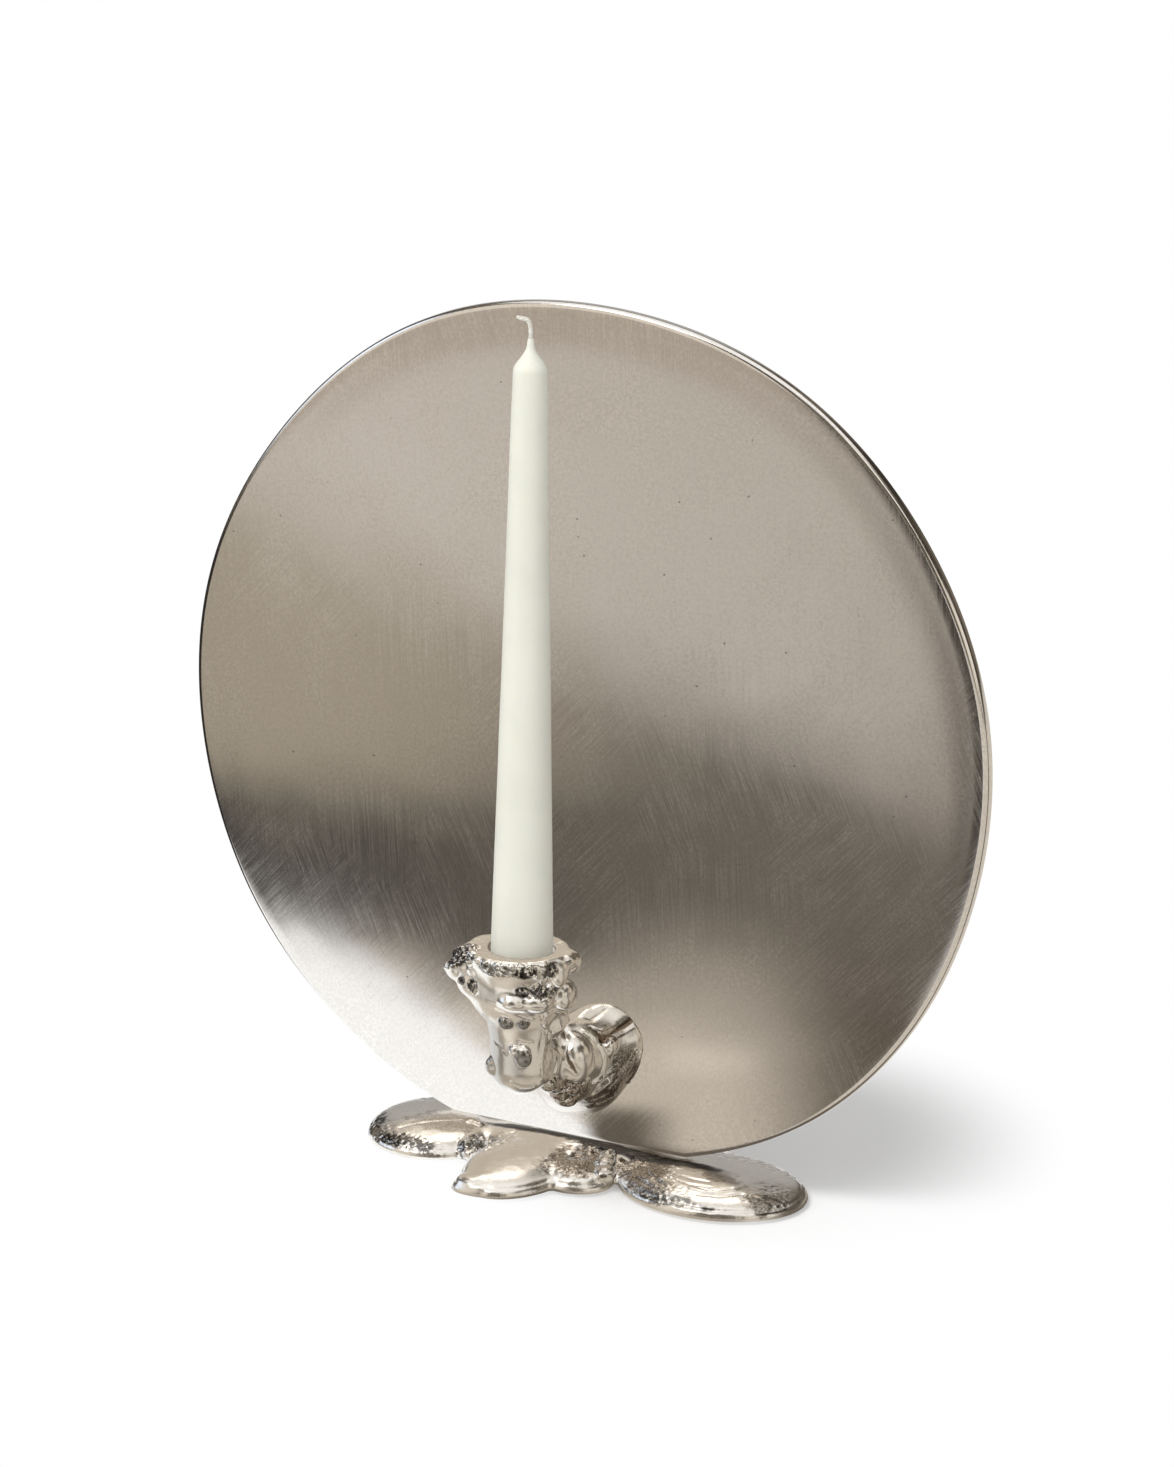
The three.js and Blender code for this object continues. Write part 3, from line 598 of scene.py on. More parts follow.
# Balls melted into the casting, or cut out where the last number is negative: middle, half sizes, and how
# widely they melt.
CASTING_BALLS = [
    # the cone that carries the horn
    ((-8.6, -49.4, 85.6), (7.6, 6.4, 8), 4), ((-4.6, -49, 79.4), (6.4, 5.6, 7), 4),
    ((-13, -50, 91), (5.4, 5, 4.6), 2.4),
    # chin and knuckle of the arm
    ((10.1, -15.4, 37.9), (8, 8, 7), 3), ((13.6, -21.6, 50), (7.8, 7.4, 9.4), 1.6),
    # crumbs on the horn
    ((-15.5, -50.5, 95.6), (2, 2, 1.6), 0.7), ((-12.4, -48.6, 96.2), (1.9, 2, 1.3), 0.7),
    ((-9.6, -54.6, 96), (2, 1.8, 1.5), 0.7), ((-17.4, -49.6, 92.6), (2.3, 2.2, 1.9), 0.7),
    ((-5.6, -58, 95.4), (1.7, 1.5, 1.4), 0.6), ((-13.3, -53.9, 94.2), (1.8, 1.7, 1.6), 0.6),
    ((-20, -52.4, 88.8), (2, 2, 1.9), 0.8), ((-16.4, -53.4, 89.3), (3.4, 2.2, 3), 1),
    ((-12, -53.6, 89), (3, 2.2, 2.8), 1), ((-8.6, -55.4, 90.5), (2.2, 1.6, 2.2), 0.8),
    # drips along the rim
    ((-1.9, -59.2, 94.6), (1.7, 1.5, 1.8), 0.6), ((0, -59.2, 92.7), (1.4, 1.2, 1.7), 0.6),
    ((2.7, -59.8, 94.8), (1.6, 1.4, 1.4), 0.6), ((5.3, -59.6, 95), (1.6, 1.3, 1.6), 0.6),
    ((8.2, -59, 95), (1.8, 1.3, 1.7), 0.6), ((11.1, -57.4, 95.2), (1.6, 1.4, 1.6), 0.6),
    ((13.6, -55.8, 94.2), (1.7, 1.5, 2.2), 0.6), ((15.7, -53.6, 92.6), (1.5, 1.5, 2), 0.6),
    ((17.3, -51.8, 94.6), (1.5, 1.6, 1.7), 0.6), ((18.4, -49.2, 92.6), (1.6, 1.8, 2), 0.7),
    # the rolled lip
    ((19.9, -44.4, 91), (3, 4, 5), 1.4), ((21.2, -40.4, 94.2), (2.4, 3.6, 2.4), 1.2),
    ((21.4, -37, 94.2), (2, 2.8, 2.2), 1), ((19, -43.6, 88), (2, 2.8, 2.4), 0.9),
    # crumbs on the brow
    ((8.8, -55, 85.7), (1.7, 1.5, 1.4), 0.5), ((10.9, -54.4, 86.5), (1.6, 1.5, 1.5), 0.5),
    ((12.4, -53.4, 85.2), (1.5, 1.4, 1.4), 0.5), ((14, -52.4, 86.8), (1.7, 1.6, 1.7), 0.5),
    ((15.6, -50.9, 88), (1.5, 1.6, 1.4), 0.5), ((16.2, -50, 85.2), (1.7, 1.8, 1.8), 0.5),
    ((17.6, -47.6, 86.2), (1.5, 1.8, 1.5), 0.5), ((17.6, -46, 83.6), (1.7, 2, 1.7), 0.5),
    ((15.4, -52.6, 83.6), (1.6, 1.5, 1.6), 0.5), ((18.2, -43.6, 85.4), (1.5, 1.8, 1.5), 0.5),
    # the bulge under the lip
    ((19.4, -39.4, 81), (3.4, 5, 5), 1.4), ((17.6, -35.4, 78.2), (3.4, 4, 3.6), 1.6),
    # two beads, the navel and the knob
    ((3.6, -53.8, 72.6), (2.7, 2.4, 2.7), 0.4), ((9.4, -51.6, 72.2), (2.1, 1.9, 2.1), 0.4),
    ((8.6, -49.8, 59.2), (3.4, 2.6, 4.1), 0.5), ((5.9, -50.9, 61.2), (2.2, 1.8, 2.3), 0.4),
    ((-4.7, -47.6, 52.6), (2.6, 2.4, 3.4), 1), ((-4.4, -48.2, 54.6), (1, 1, 1.2), 0.3),
    # lumps where the arm leaves the cup
    ((11, -34.2, 44.4), (3.4, 3.6, 3), 0.8), ((11.6, -29.4, 42), (3, 3.4, 2.8), 0.7),
    ((10.4, -24, 37.2), (4, 3.6, 3), 0.8), ((15, -22, 39.6), (3, 3, 2.8), 0.7),
    ((17, -18.6, 40.6), (2.4, 2.6, 2.4), 0.6), ((10.4, -19.8, 33.2), (4.4, 3.6, 2.6), 0.9),
    # the flat facet on the boss
    ((22.2, -8.4, 52), (2.6, 3.2, 3.8), 0.9),
    # pits
    ((-12.7, -56.4, 86), (0.8, 1.2, 0.9), -0.3), ((-8.3, -56.4, 85.4), (1.3, 2, 1.9), -0.3),
    ((-7.2, -55.2, 82.8), (1.1, 2, 1.6), -0.3), ((-5, -52.9, 75.4), (0.7, 1.2, 1.1), -0.3),
    ((-14.4, -52, 93.6), (1.6, 1.8, 1.4), -0.5), ((-9.4, -56, 93), (1.2, 1.5, 1.3), -0.4),
    ((6.7, -60.6, 93.2), (1.1, 1.3, 1), -0.3), ((12.2, -58.4, 93.2), (0.9, 1.1, 1), -0.3),
    ((1.2, -60.4, 93.6), (1, 1.2, 1.2), -0.3), ((14.8, -55.6, 91), (1, 1.2, 1), -0.3),
    ((13.2, -53.9, 85.6), (1, 1.1, 0.9), -0.3), ((15.4, -52.4, 85.6), (1, 1.1, 1), -0.3),
    ((17.2, -49, 83), (1, 1.2, 1), -0.3), ((24.4, -8.6, 48), (1, 1.3, 1.5), -0.3),
    ((14, -25.6, 40.6), (1.2, 2, 1.4), -0.5), ((12.2, -22.4, 34.6), (2.4, 1.2, 1), -0.4),
]  # fmt: skip

# Ridges, or grooves where the height is negative: points, half width, height.
CASTING_LINES = [
    # folds of the cup's front
    ([(-0.8, -56.8, 80.6), (5, -57.6, 80.8), (9.4, -56.6, 80.2), (13.1, -51.2, 77),
      (15.5, -46.7, 75.2)], 1.1, 0.22),
    ([(1.4, -56.3, 78.4), (5.2, -55.8, 77.8), (9.4, -54, 76.8), (12.7, -50.6, 74.9)], 0.7, -0.4),
    ([(13.5, -54.5, 83), (15.1, -54.6, 81.4), (16.8, -52.6, 79.4)], 0.6, -0.4),
    ([(-7, -54, 81), (-5, -53.6, 76), (-4.6, -52, 70)], 1.2, 0.3),
    # the loop and the flutes where the arm begins
    ([(13.8, -42.5, 67.9), (14.3, -45.8, 72.1), (15.7, -46.4, 75.6), (17, -41.2, 76), (16.8, -34.7, 72.7),
      (16.7, -32, 68.8), (16.4, -36.6, 67.2), (14.3, -38.7, 66)], 0.8, 0.9),
    ([(14.6, -48, 74.8), (13.9, -42.7, 68.8), (12.9, -42.8, 62.2), (12.6, -43.7, 56),
      (12.3, -42.9, 49.7)], 0.8, 0.8),
    ([(14.2, -40.2, 66), (13, -38.5, 62.7), (12.7, -36.9, 56.4), (12.3, -36.6, 49.8)], 0.8, 0.7),
    ([(13.3, -41, 62), (12.9, -40.4, 56), (12.5, -40, 50)], 0.7, -0.6),
    ([(14.1, -35.1, 63.3), (12.9, -31.8, 54.8), (13.1, -32.8, 48.7)], 0.8, 0.7),
    ([(13.6, -34.6, 60), (13, -34.4, 54), (12.8, -34.6, 49)], 0.6, -0.5),
    ([(-2.6, -49.8, 62.8), (0.4, -50.9, 62.1)], 0.4, -0.5), ([(1.4, -51, 60.6), (2.5, -51, 59.6)], 0.4, -0.5),
    ([(7.2, -50.4, 65.2), (9, -49.1, 64.3), (10.6, -47.6, 64.1)], 0.5, -0.4),
    ([(4, -49.9, 48.9), (7.4, -48, 47), (10.6, -44.8, 46.9)], 0.7, 0.4),
    # the knuckle's edge, the fold above it and the boss's broad folds
    ([(15.3, -16.2, 59.2), (17.3, -14.6, 57.9), (19.6, -13.6, 55.4), (21.4, -12.3, 51.8),
      (22.3, -11.5, 47.9), (22, -12.2, 44.2), (20.7, -12.7, 40.3)], 0.7, 0.8),
    ([(16.6, -12.6, 59.6), (19.4, -11.4, 57.2), (21.8, -10, 53.6)], 0.9, -0.8),
    ([(20.3, -12.4, 55.1), (22.2, -6.7, 56.2), (23.6, -1.5, 57.5), (25, 3.6, 58.8)], 1.9, -0.8),
    ([(22, -9.5, 53.7), (23.6, -5.4, 54.9), (25.1, -1.4, 56.2), (26.6, 3.7, 57.1)], 1.5, 0.35),
    ([(10.3, -21.6, 60.4), (14.8, -26.3, 59), (15, -28.9, 55.4), (16.3, -29, 51.8),
      (17.9, -26.5, 47.5)], 1.1, -0.9),
    ([(9.9, -18.4, 60.8), (9.4, -11, 61.6), (10.4, -4, 62.6)], 1.7, 0.5),
    ([(14, -8, 61.4), (16, 0, 63)], 1.6, -0.5),
    # long ridges down the boss's right side
    ([(14.9, -12, 32), (17.3, -12.3, 34.5), (20, -11.1, 36.5), (22.6, -9.3, 39.5)], 0.9, 1.3),
    ([(19.2, -14.6, 39.9), (21.6, -12.2, 41.8), (23.1, -9.5, 43.1), (24.8, -6.6, 44.4)], 0.7, 0.9),
    ([(12.6, -5.7, 25.9), (16.4, -6.1, 28.3), (19.2, -4.6, 29.5), (21.4, -3.4, 31.1)], 0.7, 0.9),
    ([(25, -5.3, 40.9), (26.6, -3, 43.6), (27.8, -1.3, 45.5), (28.7, 0, 48.7)], 0.7, 1.0),
    ([(24.9, 1.6, 35.5), (26.8, 2.6, 39), (28.4, 2.3, 43.3), (29.3, 2, 47.8)], 0.6, 0.9),
    ([(22.1, -7.4, 35.7), (24.3, -5.3, 38.5), (25.8, -3.7, 40.9)], 0.6, 0.7),
    ([(17, -13.6, 37.4), (20.4, -12, 39.2), (23.4, -8.8, 41.4)], 0.8, -0.8),
    ([(15.8, -9.4, 30), (19.4, -8, 32.6), (23, -5.4, 36)], 0.8, -0.7),
    ([(26, -0.6, 39.6), (27.6, 0.4, 43), (28.8, 0.8, 47)], 0.6, -0.7),
]  # fmt: skip

PATCH_REACH = 1.4  # half sizes from the middle of a crumpled patch to where it ends
# Crumpled patches: middle, half sizes, height and lump size.
CASTING_PATCHES = [
    ((-14, -51.4, 95), (7, 5, 2.6), 0.9, 2.1), ((-19, -51, 91), (3.4, 4, 4), 0.8, 2),
    ((2, -59, 94.5), (7, 4, 2), 0.6, 1.9), ((12, -57, 94.2), (6, 4, 2.4), 0.6, 1.9),
    ((18, -50, 93), (2.6, 4, 3), 0.6, 2), ((13.4, -52.4, 85.6), (6.4, 4.4, 2.6), 0.7, 1.9),
    ((13, -25, 40), (5, 9, 6), 0.3, 3.4), ((24.6, -3, 39), (5, 6, 9), 0.25, 2.6),
    ((14, -38, 60), (3, 8, 12), 0.16, 2.6), ((4, -22, 97), (22, 14, 3), 0.2, 4.5),
]  # fmt: skip


CUP_CURVE = smoothed(CUP_WALLS, 1, 0.02)
ARM_CURVES = [smoothed(ARM_RINGS, column) for column in (1, 2, 3, 4)]


def cup_field(points):
    """The cup, without its socket."""
    across, z = points[:, :2] - (CUP_X, CUP_Y), points[:, 2]
    angle = np.arctan2(across[:, 1], across[:, 0])
    level = np.clip((z - CUP_BASE_Z) / (CUP_TOP_Z - CUP_BASE_Z), 0, 1)
    wall = np.interp(level, *CUP_CURVE)
    leaning = wall + RIM_LEAN * np.cos(angle - math.radians(RIM_LEAN_ANGLE))
    flat = BACK_FLAT / np.maximum(np.cos(angle - math.radians(BACK_FLAT_ANGLE)), 0.3)
    shaped = blend_min(leaning, flat, width=2.0)
    side = (np.hypot(*across.T) - wall - (shaped - wall) * level**2) * GENTLE
    capped = blend_max(side, z - CUP_TOP_Z, width=2.0)
    return blend_max(capped, CUP_BASE_Z - z, width=3.0)


def arm_field(points):
    """The arm and the boss on the disc."""
    x, y, z = points.T
    way = np.clip((DISC_FRONT_Y - y) / (DISC_FRONT_Y - CUP_Y), 0, 1)
    wide, tall, lean, climb = (np.interp(way, *curve) for curve in ARM_CURVES)
    half_width = ARM_END_RADIUS + (BOSS_HALF_WIDTH - ARM_END_RADIUS) * wide
    half_height = ARM_END_RADIUS + (BOSS_HALF_HEIGHT - ARM_END_RADIUS) * tall
    above = z - BOSS_Z - (ARM_END_Z - BOSS_Z) * climb
    beside = x - BOSS_X - (CUP_X - BOSS_X) * way - lean * BOSS_LEAN * above
    angle = np.arctan2(above / half_height, beside / half_width)
    wobble = 1 + 0.025 * np.sin(3 * angle + 13 * way) + 0.02 * np.sin(5 * angle - 9 * way)
    ring = np.hypot(beside / half_width, above / half_height) / wobble
    side = (ring - 1) * np.minimum(half_width, half_height) * GENTLE
    return blend_max(side, CUP_Y - 2 - y, width=4.0)


def casting_field(points):
    """Arm and cup as one casting, with its lumps, its socket and its screw holes."""
    field = blend_min(cup_field(points), arm_field(points), width=3.5)
    for angle, drop, beyond, tall, wide in CUP_LUMPS:
        z = CUP_TOP_Z - drop
        reach = np.interp((z - CUP_BASE_Z) / (CUP_TOP_Z - CUP_BASE_Z), *CUP_CURVE) + beyond
        turn = math.radians(angle)
        centre = (CUP_X + reach * math.cos(turn), CUP_Y + reach * math.sin(turn), z)
        add_ball(field, points, centre, (wide, wide, tall), width=2.0)
    for centre, radii, width in CASTING_BALLS:
        add_ball(field, points, centre, radii, width)
    x, y, z = points.T
    from_axis = np.hypot(x - CUP_X, y - CUP_Y)
    socket = np.maximum(from_axis - SOCKET_RADIUS, SOCKET_FLOOR_Z - z)
    slope = SOCKET_DISH_DEPTH / SOCKET_DISH_WIDTH
    dish = from_axis - SOCKET_RADIUS - SOCKET_DISH_WIDTH - (z - CUP_TOP_Z) / slope
    dish = np.maximum(dish * slope, CUP_TOP_Z - SOCKET_DISH_DEPTH - z)
    field = blend_max(field, -dish, width=0.8)
    field = blend_max(field, -socket, width=0.6)
    for height in SCREW_HEIGHTS:
        hole = np.hypot(x - BOSS_X, z - height) - SCREW_HOLE_RADIUS
        field = np.maximum(field, -np.maximum(hole, DISC_FRONT_Y - SCREW_BITE - y))
    return blend_max(field, y - DISC_FRONT_Y, width=0.4)


def shares_out(points, centre, half):
    """How far points lie from a centre, in shares of three half sizes."""
    return np.linalg.norm((points - centre) / np.asarray(half, float), axis=1)


def relief(points, lines, patches):
    """How far ridges, grooves and crumpled patches raise a surface."""
    raised = np.zeros(len(points))
    for line, width, height in lines:
        raised += height * np.exp(-((distance_to_line(points, line) / width) ** 2))
    for seed, (centre, half, height, size) in enumerate(patches):
        near = PATCH_REACH - shares_out(points, centre, half)
        close = near > 0
        mask = soft_step(near[close], 0, 0.6)
        stones = 0.4 - pebbles(points[close], size, seed + 7)
        raised[close] += height * mask * (stones + 0.35 * crumple(points[close], size / 2, 2, seed + 31))
    return raised


# Stains and painted light: middle, half sizes and depth. The painted dark reflections on the crumbs are
# broken up into facets, the painted shade is even, and the brown, partly patina and partly painted shade, is
# flecked.
CUP_PAINTED_DARK_REFLECTIONS = [
    # horn, drips and lip
    ((-16, -51, 93.4), (6.6, 6, 4.6), 1), ((-8.6, -55.4, 94.6), (4, 3, 2.4), 0.8),
    ((2.6, -60, 93.6), (10, 3, 2.6), 0.75), ((13, -56.6, 93.4), (6, 3.4, 2.6), 1),
    ((18.4, -50, 93), (2.6, 4, 3), 0.9), ((21.6, -42, 89), (2, 2.6, 2.4), 0.6),
    # crumbs on the brow, and pits beside the horn
    ((10.6, -55, 85.6), (3, 2.6, 2.2), 1), ((15.4, -51.6, 85.8), (4.4, 3.4, 2.8), 1),
    ((17.8, -46.4, 84.6), (2.4, 3, 2.4), 0.9), ((-8.2, -56.4, 85), (2, 2.2, 2.8), 1),
    ((-12.7, -56, 86.2), (1.4, 1.8, 1.6), 1), ((-5, -53, 75.4), (1.2, 1.6, 1.8), 1),
    ((13.6, -26, 46.4), (3, 3, 2), 0.6), ((24.8, -8.4, 47.6), (1.8, 2, 2.6), 0.6),
]  # fmt: skip
CUP_PAINTED_SHADE = [
    # painted shade and dark reflections on the beads, the navel, the knob and some of the pits
    ((3.6, -53.8, 72.2), (3.3, 3, 3), 0.76), ((9.4, -51.8, 72), (2.7, 2.6, 2.5), 0.76),
    ((8.8, -50.2, 58.4), (4.1, 3.2, 4.4), 0.7), ((-4.6, -48, 54), (2, 1.6, 2.6), 0.8),
    ((-8.2, -56.4, 84.6), (1.6, 1.8, 2.2), 0.8), ((-12.7, -56, 86), (1, 1.4, 1.2), 0.8),
    ((-5, -53, 75.4), (0.9, 1.2, 1.4), 0.7), ((10.6, -55, 84.6), (2, 1.8, 1.4), 0.7),
    ((15, -52.4, 84.4), (2.6, 2, 1.8), 0.8), ((6.7, -60.4, 93), (1.8, 1.4, 1.2), 0.8),
    ((12.2, -58.2, 93), (1.5, 1.3, 1.2), 0.8), ((1.2, -60.2, 93.4), (1.4, 1.4, 1.3), 0.8),
    # painted shade on the cup's grey left side and on the boss's dull lower half
    ((-9, -46, 59), (14, 13, 22), 0.4), ((0, -50, 56), (9, 6, 9), 0.3), ((24, -6, 38), (9, 10, 14), 0.3),
]  # fmt: skip
# Brown under the arm and on the boss: partly patina, partly painted shade where the boss reflects dark.
CUP_BROWN_PATINA_AND_SHADE = [
    ((13, -24, 38), (9, 10, 7), 1), ((11, -33, 43.4), (5, 6, 4), 0.8), ((20, -6, 31), (11, 9, 8), 0.95),
    ((13.4, -40, 62), (2.4, 6, 12), 0.12), ((26, -3, 42), (6, 7, 10), 0.85), ((21, -6, 56), (6, 6, 3), 0.75),
]  # fmt: skip


# Fine crinkles all over the casting: height, size, octaves and seed.
CASTING_CRINKLES = [(0.16, 8, 2, 5), (0.02, 2.2, 2, 9)]
HOLLOW_DEPTHS = (0.1, 0.75)  # between which a hollow turns brown


def crinkled(points, crinkles):
    """How far fine crinkles raise a surface."""
    return sum(height * crumple(points, size, octaves, seed) for height, size, octaves, seed in crinkles)


def casting_fit(points):
    """How much of the relief is kept, from none where the disc and the candle touch the casting."""
    off_disc = soft_step(DISC_FRONT_Y - points[:, 1], 0, 1.5)
    from_axis = np.hypot(points[:, 0] - CUP_X, points[:, 1] - CUP_Y)
    off_candle = soft_step(from_axis, SOCKET_RADIUS, SOCKET_RADIUS + 3)
    return off_disc * np.where(points[:, 2] > SOCKET_FLOOR_Z - 1, off_candle, 1)


def stain_and_painted_shade(points, spots, ragged=0.25):
    """How strongly stains and painted shade darken each point, from 0 to 1."""
    dark = np.zeros(len(points))
    wander = ragged * crumple(points, 2.4, 2, 77)
    for centre, half, depth in spots:
        dark = np.maximum(dark, depth * soft_step(shares_out(points, centre, half) + wander, 1.1, 0.8))
    return dark


# Foot

FOOT_BOX = (-81, -51, -0.6), (99, 63, 69)
CROWN_POWER = 0.4  # how roundly a lobe's crown falls off
SHOULDER_SHARE = 0.8  # of the rim's height, where the crown begins
STEEPEST_CROWN = 3
SLOT_BORDER = 0.2  # kept plain beside the disc's slot

# Lobes: middle, half length, half width, turn in degrees, how far the crown rises past the seat.
LOBES = [
    (-51.5, 0, 26.5, 28, 0, 0.2), (-7.5, -18, 30.5, 20, 86, 0.6), (13.5, -17, 15, 13, 0, -0.4),
    (60.5, -0.3, 36, 28, 0, 0.2), (-25, 29, 32, 24, 112, 0.2), (25, 29, 32, 25, 74, 0.4),
    (5, 9, 52, 24, 0, 0.8), (-14.2, -41, 9.6, 7.6, 20, -2.2),
]  # fmt: skip

# The tongue's side: half width at each height.
TONGUE_SIDE = np.array([
    (4, 30), (6.6, 25.8), (9.2, 22.7), (12, 20), (15.2, 17.8), (19.4, 16), (24.6, 15.2), (32, 15), (51, 15),
])  # fmt: skip

FOOT_BALLS = [
    # the small blob between two lobes, and crumbs beside it
    ((-30.6, -14.6, 3.6), (5.2, 5.6, 4.6), 1.4), ((-28.4, -19.6, 4.2), (2.6, 3, 2.6), 1),
    ((-32.4, -11, 6), (2.6, 2.8, 2.2), 0.9), ((-27.6, -12.4, 7), (2.2, 2.4, 1.8), 0.9),
    ((-39, 1, 8), (3, 3, 1.4), 1), ((-35.2, 0.4, 7.4), (2, 2, 1.4), 0.8),
    ((-29.4, -16.6, 7.4), (1.5, 1.7, 1.6), -0.5), ((-31.6, -17.6, 3.4), (1.4, 1.4, 1.2), -0.5),
    # the folded flap
    ((20.4, -5, 8.9), (2.6, 3.8, 1.5), 0.3), ((22.6, -10.8, 8.3), (3.4, 4.8, 1.8), 0.3),
    ((25.4, -16.6, 6.2), (4.2, 4.6, 2.6), 0.3),
    # hollows in the rough dip between the front and right lobes
    ((11, -9, 9.4), (4.2, 3.4, 2.4), -1.2), ((17, -4.5, 9.6), (3.6, 2.6, 2.2), -1.2),
    ((9.4, -4.4, 9.8), (2.4, 2, 2), -1), ((28, -4, 9.2), (2.6, 3, 2.2), -1),
    ((32, -8, 8.6), (2.4, 2.6, 2), -1),
]  # fmt: skip

FOOT_LINES = [
    # wrinkles that run from the blob up the front lobe
    ([(-27, -19, 6.4), (-21.4, -21, 7.8), (-20.2, -15.6, 8.1), (-18.6, -10.7, 8.2),
      (-18, -4, 7.9)], 0.9, 0.7),
    ([(-25.4, -16, 7), (-21.6, -12, 7.8), (-20.4, -6, 8)], 0.7, 0.6),
    ([(-23, -13.4, 7.4), (-19.6, -8, 8.2)], 0.5, -0.6), ([(-22, -18, 7.6), (-19.4, -13, 8.2)], 0.5, -0.5),
    # seams of the right lobe
    ([(36.2, -18, 4.3), (47, -23.7, 4.7), (60, -26, 4.7), (71.4, -25, 4), (84, -19, 4)], 0.7, -0.8),
    ([(38, -14, 7.4), (46, -19, 7), (54, -22.4, 6.4), (62, -23.4, 6.2)], 0.6, 0.7),
    ([(59.7, -17.3, 8), (65.8, -17.6, 7.9), (70.9, -15.9, 7.9), (74.7, -11.5, 8.2),
      (76.5, -6.8, 8.4)], 0.5, 0.55),
    ([(60, -16, 8), (66, -16.2, 7.9), (70, -14.6, 8), (73.4, -10.6, 8.2)], 0.4, -0.5),
    ([(40, -10, 8), (48, -15.6, 7.8), (52, -18.6, 7.6)], 0.6, 0.7),
    ([(46, -10, 8.4), (52, -14, 8.2)], 0.5, 0.6),
    ([(44, -6, 8.6), (50, -9.4, 8.6), (58, -11, 8.6), (64, -10.4, 8.8)], 0.5, -0.45),
    ([(50, -13, 8.3), (58, -15, 8.2), (66, -14, 8.4)], 0.4, -0.4),
    ([(64, -20, 7.4), (72, -18, 7.4), (78, -13, 7.8)], 0.5, -0.4),
    # the crease along the left lobe
    ([(-59, -17.2, 7.6), (-51.1, -10, 8.8), (-44, -4, 8.9), (-38, 1.6, 8.4)], 0.8, -0.25),
]  # fmt: skip

FOOT_PATCHES = [
    ((-51, -23.6, 5.6), (15, 4, 3), 0.4, 1.9), ((-68, -17, 5), (6, 7, 4), 0.3, 2.4),
    ((-29, -15, 5), (6, 8, 4), 0.5, 2.2), ((-20, -12, 8), (4, 11, 3), 0.35, 2),
    ((13, -11, 8), (12, 13, 4), 0.42, 1.7), ((11, -22, 7), (10, 6, 4), 0.3, 1.8),
    ((38, -9, 7.6), (13, 12, 4), 0.42, 1.8), ((48, -21, 6), (16, 5, 3), 0.36, 2),
    ((87, -8, 6.6), (9, 10, 3), 0.3, 1.5), ((66, 22, 6), (26, 12, 5), 0.35, 3),
    ((25, 44, 6), (20, 16, 5), 0.45, 3), ((-25, 44, 6), (20, 16, 5), 0.45, 3),
    ((-56, 18, 6), (20, 12, 5), 0.35, 3), ((0, 26, 8), (16, 8, 4), 0.5, 2.6),
]  # fmt: skip

# Brown on the foot's rough dips, lobes and folded flap: partly patina, partly painted shade.
FOOT_BROWN_PATINA_AND_SHADE = [
    ((14.5, -13, 8), (11.5, 13, 5), 1), ((35, -9, 8), (12, 11, 5), 1), ((46, -19, 6), (11, 5, 5), 0.7),
    ((67, -6, 8.4), (8, 3.4, 3), 0.7), ((86, -13, 6), (6, 7, 3.4), 0.7), ((-38, 0, 8), (6, 3, 3), 0.6),
    ((-47, -7, 8.6), (13, 8, 4), 0.5), ((56, -2, 8.8), (16, 3, 3), 0.5), ((-26, -11, 8), (4, 8, 4), 0.3),
    ((26, -16, 9), (6, 9, 4), 0.9),
]  # fmt: skip
# Painted dark reflections on the foot's crumbs, its blob and the dark ends and fronts of its lobes.
FOOT_PAINTED_DARK_REFLECTIONS = [
    ((-73, -12, 5), (6, 9, 4.4), 1), ((-52, -23.4, 5.8), (15, 3.6, 2.6), 0.85),
    ((-29.8, -15.6, 4.6), (5.6, 7, 5), 0.8), ((50, -25, 5), (20, 3, 2.4), 0.7),
    ((88, -12, 5), (6, 8, 3), 0.5),
]  # fmt: skip
# the painted shadow in the dark gap in front of the disc
FOOT_PAINTED_SHADOW = [((-8, 2.5, 9), (32, 2.4, 3), 1), ((34, 0.4, 9), (34, 3.5, 3), 1)]

FOOT_CRINKLES = [(0.18, 11, 3, 15), (0.05, 2.4, 2, 19)]
# A flap of metal folded over the dip: its corners seen from above, how far it stands up, and its ragged edge.
FLAP = np.array([(17.8, -3), (22.6, -23), (30.4, -19), (22.8, -3.4)])
FLAP_RISE = 0.6
FLAP_RAG, FLAP_RAG_SIZE, FLAP_RAG_SEED = 0.5, 1.6, 91


def lobe_field(points, lobe):
    """One poured lobe: a flat underside, a thick rim and a low crown."""
    x, y, length, width, turn, crown = lobe
    turn = math.radians(turn)
    across = points[:, :2] - (x, y)
    along = across @ (math.cos(turn), math.sin(turn)) / length
    aside = across @ (-math.sin(turn), math.cos(turn)) / width
    out = np.hypot(along, aside)
    small = min(length, width)
    edge = 1 - LOBE_RIM / 2 / small
    inner = np.maximum(1 - (out / edge) ** 2, 0.02)
    shoulder = SHOULDER_SHARE * LOBE_RIM
    height = FOOT_THICKNESS + crown - shoulder
    top = FOOT_UNDERSIDE + shoulder + height * inner**CROWN_POWER
    slope = 2 * CROWN_POWER * height * out / edge**2 * inner ** (CROWN_POWER - 1) / small
    over_top = (points[:, 2] - top) / np.hypot(1, np.minimum(slope, STEEPEST_CROWN))
    return blend_max(over_top, (out - 1) * small, width=2.2)


def tongue_field(points):
    """The upright behind the disc."""
    x, y, z = points.T
    straight = np.abs(x - BOSS_X) - np.interp(z, *TONGUE_SIDE.T)
    top = SCREW_HEIGHTS[1]
    outline = np.where(z > top, np.hypot(x - BOSS_X, z - top) - TONGUE_TOP_RADIUS, straight)
    slab = np.abs(y - (DISC_BACK_Y + TONGUE_BACK_Y) / 2) - (TONGUE_BACK_Y - DISC_BACK_Y) / 2
    field = blend_max(outline, slab, width=4.0)
    for height in SCREW_HEIGHTS:
        field = blend_max(field, SCREW_HOLE_RADIUS - np.hypot(x - BOSS_X, z - height), width=0.5)
    return field


